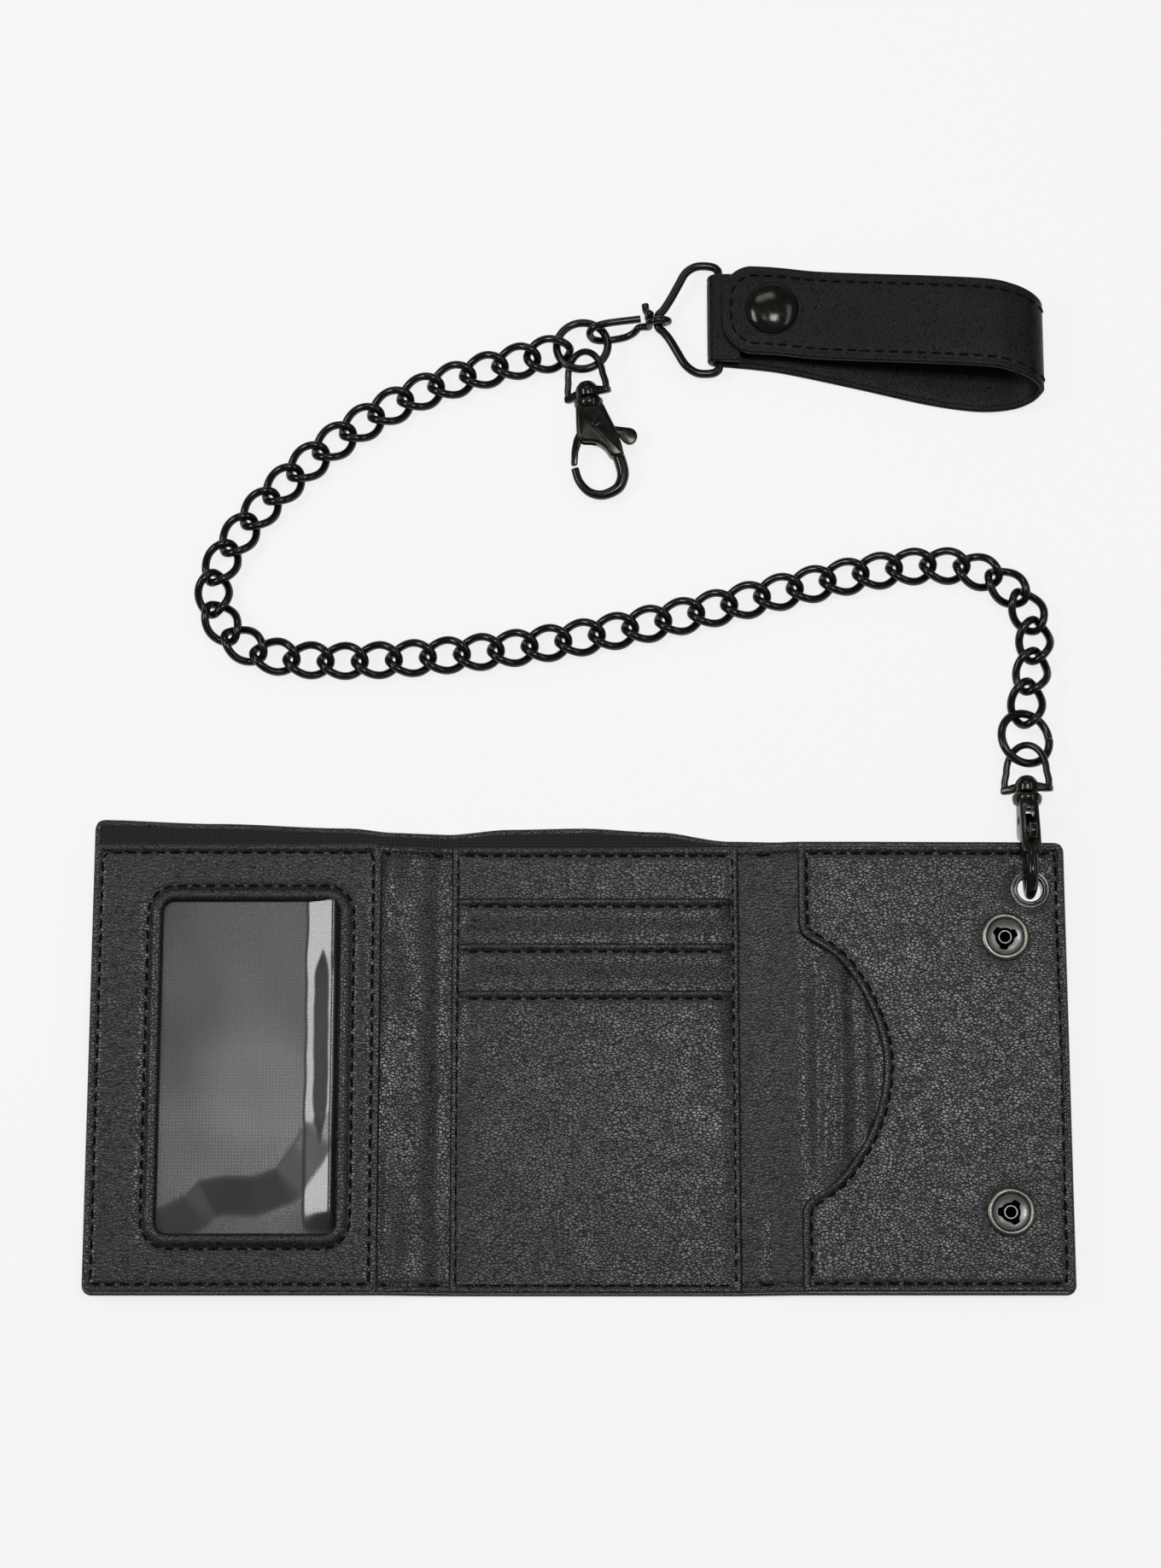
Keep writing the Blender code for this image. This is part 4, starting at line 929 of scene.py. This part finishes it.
def side_pocket():
    """Open pocket with a curved mouth, sunk a little round its snaps and eyelet."""
    x0, x1, y0, y1 = POCKET_LEFT, POCKET_RIGHT, BOTTOM + 0.5, INNER_TOP - 0.2
    holes = [(x, y, 5.6, 0.35) for x, y in SOCKETS] + [(*EYELET, 4.9, 0.5)]

    def warp(x, y, d):
        left = notch_x(y)
        moved = left + (x - x0) * (x1 - left) / (x1 - x0)
        gaps = [x1 - x, y - y0, y1 - y]
        if x == x0:
            gaps.append(0.0)
        elif x - x0 < 9:
            gaps.append(from_line(moved, y, NOTCH))
        return moved, y, min(gaps)

    def relief(x, y):
        h = 0.12 * wave(x, y, 13, 23)
        for hx, hy, radius, depth in holes:
            r = math.hypot(x - hx, y - hy)
            h -= depth * (1 - smooth(radius - 0.6, radius + 1.6, r))
        return h

    xs = lines(x0, x1, 1.5, True, True)
    ys = lines(y0, y1, 1.3, True, True)
    piece = sheet("side_pocket_leather", LEATHER, "right_panel", xs, ys,
                  lambda x: RIGHT_Z + POCKET_UP, 0.85, ["left", "right", "bottom", "top"],
                  warp=warp, extra=relief, corner=2.0, replaces="side_pocket")
    punch(piece, *EYELET, EYELET_HOLE)
    for x, y in SOCKETS:
        punch(piece, x, y, SOCKET_HOLE)
    edge = []
    for (ax, ay), (bx, by) in zip(NOTCH, NOTCH[1:]):
        length = math.hypot(bx - ax, by - ay)
        if INNER_TOP - 2.5 > ay > BOTTOM + 2.6:
            edge.append((ax + (ay - by) / length * STITCH_INSET,
                         ay + (bx - ax) / length * STITCH_INSET))
    border = [(49.9, INNER_TOP - 2.3), (108.8, INNER_TOP - 2.3), (108.8, BOTTOM + 2.6),
              (49.9, BOTTOM + 2.6)]
    stitches("pocket_edge_stitching", "right_panel", edge, lambda x, y: RIGHT_Z + 3.35)
    stitches("pocket_border_stitching", "right_panel", border, lambda x, y: RIGHT_Z + 3.35)


# ---- snaps and eyelet
def snap_fittings():
    for index, (name, place) in enumerate(zip(("upper", "lower"), SOCKETS)):
        snap_socket(name, *place, 0.6 * index)
        snap_cap(name, *place)
    eyelet()
    for name, place in zip(("upper", "lower"), STUDS):
        snap_stud(name, *place)


def snap_socket(name, x, y, turn):
    """Rolled ring, dish and lip round a hole with three spring notches; their shade is painted
    black.
    """
    face = RIGHT_Z + POCKET_UP + 0.55
    ring = rounded([(3.9, -0.9), (5.75, -0.6), (5.75, 0.55), (5.2, 1.0), (4.55, 1.0),
                    (4.1, 0.3)], 0.5)
    dish = [(4.3, 0.45), (3.9, -0.05), (3.2, -0.5), (2.2, -0.72), (2.2, -0.9), (4.3, -0.9)]
    lip = rounded([(1.25, -0.7), (1.62, -0.7), (1.62, -0.25), (1.25, -0.25)], 0.15)
    # A matte black disc deep in the socket: painted shade for the hole.
    hole = [(0, -0.88), (2.6, -0.88), (2.6, -0.80), (0, -0.80)]
    for part, profile, steps, look in (("ring", ring, 56, NICKEL), ("dish", dish, 56, BRIGHT),
                                       ("lip", lip, 40, BRIGHT), ("hole", hole, 40, HOLE_SHADE)):
        make("socket_%s_%s" % (part, name), turned(profile, steps, (x, y, face)), look,
             "right_panel", replaces="snap_socket_" + name if part == "ring" else ())
    # A black star in the dish: painted shade for the spring's three notches.
    star = bmesh.new()
    rim = []
    for k in range(24):
        a = 2 * math.pi * (k + 0.5) / 24 + turn
        r = 3.0 if k % 8 < 3 else 2.25
        rim.append((r * math.cos(a), r * math.sin(a)))
    rings = [[star.verts.new((x + px * scale, y + py * scale, face + z)) for px, py in rim]
             for scale, z in ((1.0, -0.62), (1.0, -0.44), (0.66, -0.44), (0.66, -0.62))]
    skin(star, rings, close_rings=True)
    make("socket_star_" + name, star, HOLE_SHADE, "right_panel", angle=30)


def snap_cap(name, x, y):
    dome = [(0, -2.0), (1.5, -1.93), (2.9, -1.68), (4.2, -1.2), (5.2, -0.62), (5.8, -0.2),
            (6.0, 0.08), (5.7, 0.2), (1.4, 0.2), (1.4, 2.4), (0, 2.4)]
    make("cap_" + name, turned(dome, 56, (x, y, RIGHT_Z - 0.8)), LACQUER, "right_panel",
         replaces="snap_cap_" + name)


def eyelet():
    flange = [(2.95, -0.6), (2.95, 0.55), (3.15, 0.95), (3.45, 1.05), (3.75, 0.92), (3.95, 0.70),
              (4.15, 0.78), (4.45, 0.80), (4.75, 0.55), (4.85, 0.2), (4.7, 0.05), (3.3, 0.05),
              (3.25, -3.2), (2.95, -3.2)]
    make("eyelet_ring", turned(rounded(flange, 0.12, 2), 64, (*EYELET, RIGHT_Z + 2.4)), GUNMETAL,
         "right_panel", replaces="eyelet")


def snap_stud(name, x, y):
    profile = rounded([(1.0, -2.9), (1.7, -2.9), (2.3, -2.3), (2.3, -1.8), (1.95, -1.2),
                       (3.6, -0.75), (5.4, -0.5), (5.4, 0.0), (1.0, 0.0)], 0.25)
    make("stud_" + name, turned(profile, 48, (x, y, LEFT_Z - 0.8)), NICKEL, "left_panel",
         replaces="snap_stud_" + name)


# ---- hooks
def hook_frame(origin, across, up):
    """A hook's own axes: its origin, across it, up it towards its eye, and through it."""
    across, up = Vector(across).normalized(), Vector(up).normalized()
    return Vector(origin), across, up, across.cross(up)


def to_world(place, u, v, w=0.0):
    """Point at (u, v, w) along a hook's own axes."""
    origin, across, up, through = place
    return origin + across * u + up * v + through * w


def casting(outline, half, place, soft):
    """A prism in the hook's plane with its long edges rounded off."""
    steps = 3
    levels = []
    for k in range(steps, -1, -1):
        a = math.pi / 2 * k / steps
        levels.append((-half + soft * (1 - math.sin(a)), soft * (1 - math.cos(a))))
    levels += [(-w, inset) for w, inset in reversed(levels)]
    count = len(outline)
    area = sum(outline[i - 1][0] * outline[i][1] - outline[i][0] * outline[i - 1][1]
               for i in range(count))
    outward = []
    for i in range(count):
        tangent = (Vector(outline[(i + 1) % count]) - Vector(outline[i - 1])).normalized()
        outward.append(Vector((tangent.y, -tangent.x)) * (1 if area > 0 else -1))
    bm = bmesh.new()
    skin(bm, [[bm.verts.new(to_world(place, u - out.x * inset, v - out.y * inset, w))
               for (u, v), out in zip(outline, outward)] for w, inset in levels], cap=True)
    return bm


def hook(number, place, roll, bodies):
    prefix = "hook_%d_" % number
    eye_body, main_body, lever_body = bodies
    hook_body(prefix, place, main_body)
    rivet = [(0, -2.36), (0.55, -2.36), (0.62, -2.5), (0.95, -2.5), (1.08, -2.36), (1.08, 2.36),
             (0.95, 2.5), (0.62, 2.5), (0.55, 2.36), (0, 2.36)]
    make(prefix + "rivet", turned(rivet, 28, to_world(place, 1.0, 0.0), axis=place[3]), LACQUER,
         main_body, replaces=prefix + "pin")
    hook_lever(prefix, place, lever_body)
    swivel_eye(prefix, place, roll, eye_body)


def hook_body(prefix, place, body):
    """Cast body with its round loop and collar, and the slot that the lever turns in."""
    neck, slot_half = 5.0, 1.05
    outline = rounded([(-3.3, neck), (-3.75, 0.0), (-3.9, -2.6), (-2.9, -4.3), (-0.5, -4.6),
                       (1.2, -5.2), (2.6, -6.6), (3.8, -9.0), (7.0, -9.0), (6.7, -6.0),
                       (6.0, -2.8), (5.1, 0.0), (4.2, 2.5), (3.4, neck)], 0.9, 3)
    piece = make(prefix + "casting", casting(outline, 2.3, place, 0.8), LACQUER, body,
                 replaces=prefix + "body", angle=38)
    loop = smooth_path([(5.35, -7.6, 0), (6.0, -10.6, 0), (6.1, -13.4, 0), (4.8, -16.1, 0),
                        (2.3, -17.4, 0), (-0.2, -17.6, 0), (-2.8, -16.4, 0), (-4.7, -13.6, 0),
                        (-5.35, -10.35, 0)], 7)
    radii = [lerp(1.55, 0.98, smooth(0, 1, i / (len(loop) - 1))) for i in range(len(loop))]
    cut(piece, tube([to_world(place, p.x, p.y) for p in loop], radii, 20), "UNION")
    collar = rounded([(0, -0.9), (3.2, -0.9), (3.55, 0.3), (3.55, 1.1), (3.0, 1.7), (0, 1.7)],
                     0.35)
    cut(piece, turned(collar, 40, to_world(place, 0, neck), axis=place[2]), "UNION")
    slot = [(-7, -7), (0.6, -7), (0.6, -3.7), (12, -3.7), (12, 3.0), (-7, 3.0)]
    bm = bmesh.new()
    skin(bm, [[bm.verts.new(to_world(place, u, v, w)) for u, v in slot]
              for w in (-slot_half, slot_half)], cap=True)
    cut(piece, bm)


def hook_lever(prefix, place, body):
    """Flat lever: the gate on one side of its pin and the round thumb tab on the other."""
    tab = [(8.7 + 2.1 * math.cos(math.radians(a)), -3.9 + 2.1 * math.sin(math.radians(a)))
           for a in range(75, -96, -17)]
    shape = [(-6.2, -9.6), (-5.7, -6.0), (-4.75, -3.0), (-3.0, -0.2), (-0.6, 1.5), (1.0, 1.9),
             (2.6, 1.2), (5.2, -0.9), *tab, (7.6, -5.5), (6.9, -4.7), (6.2, -3.3), (3.0, -2.2),
             (0.8, -1.9), (-1.4, -2.2), (-2.7, -3.6), (-4.0, -6.3), (-4.6, -9.6)]
    make(prefix + "gate", casting(rounded(shape, 0.5, 2), 0.78, place, 0.3), LACQUER, body,
         replaces=prefix + "lever", angle=38)


def swivel_eye(prefix, place, roll, body):
    """Arched wire eye on a flat bar, with the stem that turns in the hook's collar."""
    turn = math.radians(roll)
    origin, across, up, through = place
    turned_place = (origin, across * math.cos(turn) + through * math.sin(turn), up,
                    through * math.cos(turn) - across * math.sin(turn))
    half, shoulder, wire, rise, base = 5.4, 4.9, 0.84, 6.6, 7.9
    arch = [(shoulder * math.cos(math.pi * i / 24),
             EYE_TOP - rise + rise * math.sin(math.pi * i / 24)) for i in range(25)]
    path = [(half, base - 0.2), (half, base + 2)] + arch + [(-half, base + 2), (-half, base - 0.2)]
    eye = make(prefix + "swivel_eye",
               tube([to_world(turned_place, u, v) for u, v in path], wire, 16), LACQUER, body,
               replaces=prefix + "eye", angle=38)
    bar = rounded([(-6.3, 6.95), (-4.6, 6.95), (-2.6, 7.2), (2.6, 7.2), (4.6, 6.95), (6.3, 6.95),
                   (6.3, 8.6), (4.6, 8.8), (3.0, 9.3), (-3.0, 9.3), (-4.6, 8.8), (-6.3, 8.6)],
                  0.5, 2)
    cut(eye, casting(bar, 1.0, turned_place, 0.45), "UNION")
    stem = rounded([(0, 5.5), (1.1, 5.5), (1.1, 7.05), (2.85, 7.05), (2.95, 8.9), (2.5, 9.9),
                    (1.6, 10.9), (0, 11.4)], 0.4)
    cut(eye, turned(stem, 32, to_world(turned_place, 0, 0), axis=up), "UNION")


# ---- rings, chain, swivel
def split_ring(name, centre, tilt, gap_angle):
    """Bent wire ring whose two cut ends meet."""
    turn = tilted(*tilt)
    steps = 72
    path = []
    for i in range(steps + 1):
        a = math.radians(gap_angle + 1.4 + (360 - 2.8) * i / steps)
        lift = 0.16 * (i / steps - 0.5)
        path.append(Vector(centre) + turn @ Vector((RING_RADIUS * math.cos(a),
                                                    RING_RADIUS * math.sin(a), lift)))
    make(name + "_wire", tube(path, RING_WIRE, 18), LACQUER, name, replaces=name, angle=45)


def link_spans():
    """Both ends of each link along the chain's route; neighbours overlap by LINK_SHARE."""
    walk = Walk(smooth_path(CHAIN_ROUTE, 12))
    pitch = (walk.length - LINK_SHARE) / LINKS
    return [(walk.at(i * pitch), walk.at((i + 1) * pitch + LINK_SHARE)) for i in range(LINKS)]


def chain():
    """Links in groups of SEGMENT, one body each, numbered from the wallet's end."""
    spans = link_spans()
    first = LINKS % SEGMENT
    groups = [list(range(first))]
    groups += [list(range(i, i + SEGMENT)) for i in range(first, LINKS, SEGMENT)]
    for number, members in enumerate(groups[::-1], 1):
        body = "chain_%02d" % number
        for i in members:
            make("link_%02d" % (LINKS - i), link(*spans[i], FIRST_ROLL if i == 0 else 0.0),
                 LACQUER, body, replaces=(body,) if i == members[0] else ())


def link(start, end, roll):
    """Curb link: an oval of wire, twisted so that it lies flat with its neighbours."""
    centre, half = (start + end) / 2, (end - start).length / 2
    along = (end - start).normalized()
    across = Vector((0, 0, 1)).cross(along).normalized()
    up = along.cross(across)
    steps = 44
    path = []
    for k in range(steps):
        a = 2 * math.pi * k / steps
        turn = math.radians(LINK_TWIST * math.cos(a) + roll)
        y = LINK_WIDTH / 2 * math.sin(a)
        path.append(centre + along * half * math.cos(a) + across * y * math.cos(turn)
                    + up * y * math.sin(turn))
    return tube(path, LINK_WIRE, 14, closed=True)


def wire_swivel():
    """One bent wire: an open loop through ring 2, then a coil round the D-ring's point."""
    turn = tilted(61.5, 0, 8.0)
    origin = Vector((-1.0, 178.8, 3.5))
    knot = Vector(KNOT)
    loop = ((12.6, 2.7), (9.5, 2.75), (6.5, 2.8), (3.4, 2.7), (1.2, 2.1), (0.1, 1.0),
            (-0.1, -0.4), (0.7, -1.9), (2.6, -2.7), (5.5, -2.9), (8.6, -2.6), (10.8, -1.5),
            (12.2, 0.0))
    path = [origin + turn @ Vector((x, y, 0)) for x, y in loop]
    for i in range(15):
        a = math.radians(200 - 30 * i)
        path.append(knot + Vector((2.5 * math.cos(a), -1.1 + 2.4 * i / 14, 2.5 * math.sin(a))))
    path.append(knot + Vector((-2.9, 2.3, 0.6)))
    path.append(knot + Vector((-3.2, 4.2, 0.2)))
    curve = smooth_path(path, 5)
    make("wire_swivel_wire", tube(curve, 0.92, 14), LACQUER, "wire_swivel", replaces="wire_swivel",
         angle=45)


def d_ring():
    """Wire D with a pointed side for the swivel; its straight bar lies in the strap's fold."""
    x0, y0, z0 = KNOT
    outline = [(x0, y0 - 1.4), (x0, y0 + 1.4), (17.0, 184.9), (18.9, 188.0), (20.8, 191.6),
               (22.5, 194.6), (25.0, 196.3), (28.2, 196.5), (30.2, 195.7), (BAR_X, 193.4),
               (BAR_X, 182.5), (BAR_X, 171.4), (30.1, 169.4), (28.2, 168.7), (25.0, 168.9),
               (22.3, 170.9), (20.3, 174.2), (18.5, 177.3), (17.0, 179.2)]
    slope = (z0 - BAR_Z) / (BAR_X - x0)
    path = smooth_path([(x, y, z0 - slope * (x - x0)) for x, y in outline], 6, closed=True)
    make("d_ring_wire", tube(path, D_RING_WIRE, 18, closed=True), LACQUER, "d_ring",
         replaces="d_ring")


# ---- belt loop
# Half of the strap's section: distance from its edge, and share of half its thickness.
STRAP_EDGE = ((0.0, 0.0), (0.08, 0.42), (0.3, 0.78), (0.6, 0.95), (0.95, 1.0), (1.45, 0.90),
              (1.75, 0.92), (2.3, 1.0), (6.0, 1.01))


def upright(along):
    """Direction across a strap's thickness, from the direction it runs in."""
    return Vector((-along.z, 0, along.x)).normalized()


def strip(name, path, body, width=None, **options):
    """Leather strip with rounded edges (painted on the real strap; here the same leather as its
    faces) and a light crease line inside them.
    """
    bm = bmesh.new()
    rings = []
    last = len(path) - 1
    for i, point in enumerate(path):
        normal = upright(path[min(i + 1, last)] - path[max(i - 1, 0)])
        half = (width(i / last) if width else STRAP_WIDTH) / 2
        upper = [(half - d, h) for d, h in STRAP_EDGE]
        upper += [(-y, h) for y, h in reversed(upper)]
        lower = [(y, -h) for y, h in reversed(upper[1:-1])]
        rings.append([bm.verts.new(point + Vector((0, y, 0)) + normal * h * STRAP_THICK / 2)
                      for y, h in upper + lower])
    skin(bm, rings, cap=True)
    return make(name, bm, STRAP, body, angle=60, **options)


def bend_with_flap(piece):
    """Bake a piece's transform into its mesh."""
    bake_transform(piece)


def belt_loop():
    """The strap folds round the D-ring's bar, runs out along the table and comes back on top."""
    round_bar = D_RING_WIRE + 0.3 + STRAP_THICK / 2 + 0.05
    fold = [Vector((35.6, 182.4, BAR_Z + round_bar)), Vector((33.0, 182.5, BAR_Z + round_bar))]
    for i in range(19):
        a = math.radians(90 + 10 * i)
        fold.append(Vector((BAR_X + round_bar * math.cos(a), 182.5,
                            BAR_Z + round_bar * math.sin(a))))
    run = smooth_path([(33.0, 182.3, 0.78), (40.0, 181.6, 0.8), (48.0, 180.4, 0.8),
                       (65.0, 176.6, 0.8), (82.0, 172.6, 0.8), (94.0, 170.8, 1.1),
                       (102.0, 170.9, 2.3), (106.6, 172.0, 4.4), (108.6, 173.3, 6.6),
                       (108.9, 174.0, 7.9), (108.0, 174.9, 9.4), (105.8, 176.1, 10.9),
                       (102.0, 177.4, 12.0), (96.0, 178.6, 12.4), (82.0, 179.8, 11.2),
                       (65.0, 181.3, 8.7), (54.0, 182.4, 7.1), (46.0, 183.4, 6.75),
                       (40.0, 183.8, 6.8), (31.2, 184.0, 6.9)], 8)
    bend_x, bend_z = 101, 8                         # past here, the strap is the bend
    first = next(i for i, p in enumerate(run) if p.x > bend_x)
    last = max(i for i, p in enumerate(run) if p.x > bend_x and p.z > bend_z)
    bend, upper = run[first:last + 1], run[last:]
    length = Walk(upper).length
    strip("strap_lower", fold[:-1] + run[:first + 1], "strap_base", replaces="strap_base")
    bend_with_flap(strip("strap_bend", bend, None))

    def taper(share):
        reach, inset = (1 - share) * length, 8.6
        if reach > inset:
            return STRAP_WIDTH
        return STRAP_WIDTH - 2 * (inset - math.sqrt(max(0.0, inset ** 2 - (inset - reach) ** 2)))

    dense = [a.lerp(b, k / 3) for a, b in zip(upper, upper[1:]) for k in range(3)] + upper[-1:]
    strip("strap_upper", dense, "strap_flap", width=taper, replaces="strap_flap")
    strap_stitches("strap_upper_stitching", upper, "strap_flap", length - 2.3)
    bend_with_flap(strap_stitches("strap_bend_stitching", bend, None))
    cap = [(0, 7.0), (1.2, 7.0), (1.2, 7.6), (6.1, 7.62), (6.45, 7.9), (6.45, 8.25), (5.9, 8.75),
           (4.6, 9.35), (3.0, 9.75), (1.5, 9.95), (0, 10.0)]
    make("strap_cap", turned(cap, 56, STRAP_CAP), LACQUER, "strap_flap",
         replaces="strap_snap_cap")


def strap_stitches(name, path, body, end=None):
    """Two rows along the strap's edges; with an end, they meet round its rounded tip."""
    inset, tip = 2.5, 6.2
    strap = Walk(path)
    half = STRAP_WIDTH / 2 - inset
    straight = end - tip if end else strap.length
    steps = int(straight / 0.5)
    track = [(straight * k / steps, half) for k in range(steps)]
    if end:
        for k in range(25):
            a = math.radians(90 - 90 * k / 24)
            track.append((straight + tip * math.cos(a), half - tip + tip * math.sin(a)))
    mirrored = [(s, -y) for s, y in track]
    rows = [track + mirrored[::-1]] if end else [track, mirrored]
    bm = bmesh.new()
    for row in rows:
        points, normals = [], []
        for distance, side in row:
            i = strap.span(distance)[0]
            points.append(strap.at(distance) + Vector((0, side, 0)))
            normals.append(upright((path[i] - path[i - 1]).normalized()))
        walk = Walk(points)
        count = max(1, round(walk.length / THREAD_PITCH))
        step = walk.length / count
        for k in range(count):
            thread, radii = [], []
            for share, radius, lift in ((0.12, 0.12, 0.55), (0.25, 0.28, 0.80), (0.5, 0.32, 0.85),
                                        (0.75, 0.28, 0.80), (0.88, 0.12, 0.55)):
                place = step * (k + share)
                thread.append(walk.at(place) - normals[walk.span(place)[0]] * lift)
                radii.append(radius)
            tube(thread, radii, 6, bm=bm)
    return make(name, bm, THREAD, body)


# ---- build it all
outer_layers()
left_inner()
left_fold()
right_fold()
centre_inner()
side_pocket()
snap_fittings()

upright_hook = hook_frame(HOOK_1_PIN, (0, 0, 1), (0, 1, 0))
lean = tilted(*HOOK_2_LEAN) @ Vector((0, 1, 0))
eye_top = Vector(RING_2[0]) + Vector((0, -1.85, 0.75))
lying_hook = hook_frame(eye_top - lean * EYE_TOP, (lean.y, -lean.x, 0), lean)
hook(1, upright_hook, HOOK_1_ROLL, ("hook_1_eye", "hook_1", "hook_1_lever"))
hook(2, lying_hook, HOOK_2_ROLL, ("hook_2_eye", "hook_2", "hook_2_lever"))
split_ring("ring_1", *RING_1, 2.0)
split_ring("ring_2", *RING_2, 40.0)
chain()
wire_swivel()
d_ring()
belt_loop()

# Frame nodes that are shown as they are.
KEPT = {"hook_1_spring": STEEL, "hook_2_spring": STEEL, "eyelet_washer": GUNMETAL,
        "stud_rivet_upper": GUNMETAL, "stud_rivet_lower": GUNMETAL, "strap_snap_socket": GUNMETAL,
        "strap_snap_stud": GUNMETAL}
for node, look in KEPT.items():
    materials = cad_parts[node].data.materials
    materials.clear()
    materials.append(look)


# ---- table, light and camera
def stage():
    look = Nodes("table")
    tone = look.noise(6.0, 2.0)
    look.set(Base_Color=(0.22, 0.22, 0.22, 1), Roughness=0.9, Specular_IOR_Level=0.0,
             Emission_Color=look.ramp(tone, [(0.0, (0.99, 0.99, 0.99)), (1.0, (1, 1, 1))]),
             Emission_Strength=0.815)
    half = 4.0
    mesh = bpy.data.meshes.new("table")
    mesh.from_pydata([(-half, -half, 0), (half, -half, 0), (half, half, 0), (-half, half, 0)], [],
                     [(0, 1, 2, 3)])
    mesh.materials.append(look.material)
    table = bpy.data.objects.new("table", mesh)
    table.location.z = -0.0003
    bpy.context.collection.objects.link(table)

    world = bpy.data.worlds.new("studio")
    bpy.context.scene.world = world
    world.use_nodes = True
    background = world.node_tree.nodes["Background"]
    background.inputs["Color"].default_value = (0.93, 0.96, 1.0, 1)
    background.inputs["Strength"].default_value = 0.10
    for name, place, target, size, power, across in LIGHTS:
        light = bpy.data.lights.new(name, "AREA")
        light.energy = power
        light.shape = "RECTANGLE"
        light.size, light.size_y = size, across
        put(bpy.data.objects.new(name, light), place, target)
    bpy.context.scene.view_settings.view_transform = "Standard"


def put(obj, place, target):
    """Place a light or camera and aim it; with no target it faces straight down."""
    obj.location = place
    if target:
        aim = Vector(target) - Vector(place)
        obj.rotation_euler = aim.to_track_quat("-Z", "Y").to_euler()
    bpy.context.collection.objects.link(obj)
    return obj


def camera():
    data = bpy.data.cameras.new("camera")
    data.lens, data.sensor_width = CAMERA_LENS, CAMERA_SENSOR
    data.clip_start, data.clip_end = 0.01, 20.0
    bpy.context.scene.camera = put(bpy.data.objects.new("camera", data), CAMERA_EYE, CAMERA_TARGET)


stage()
camera()
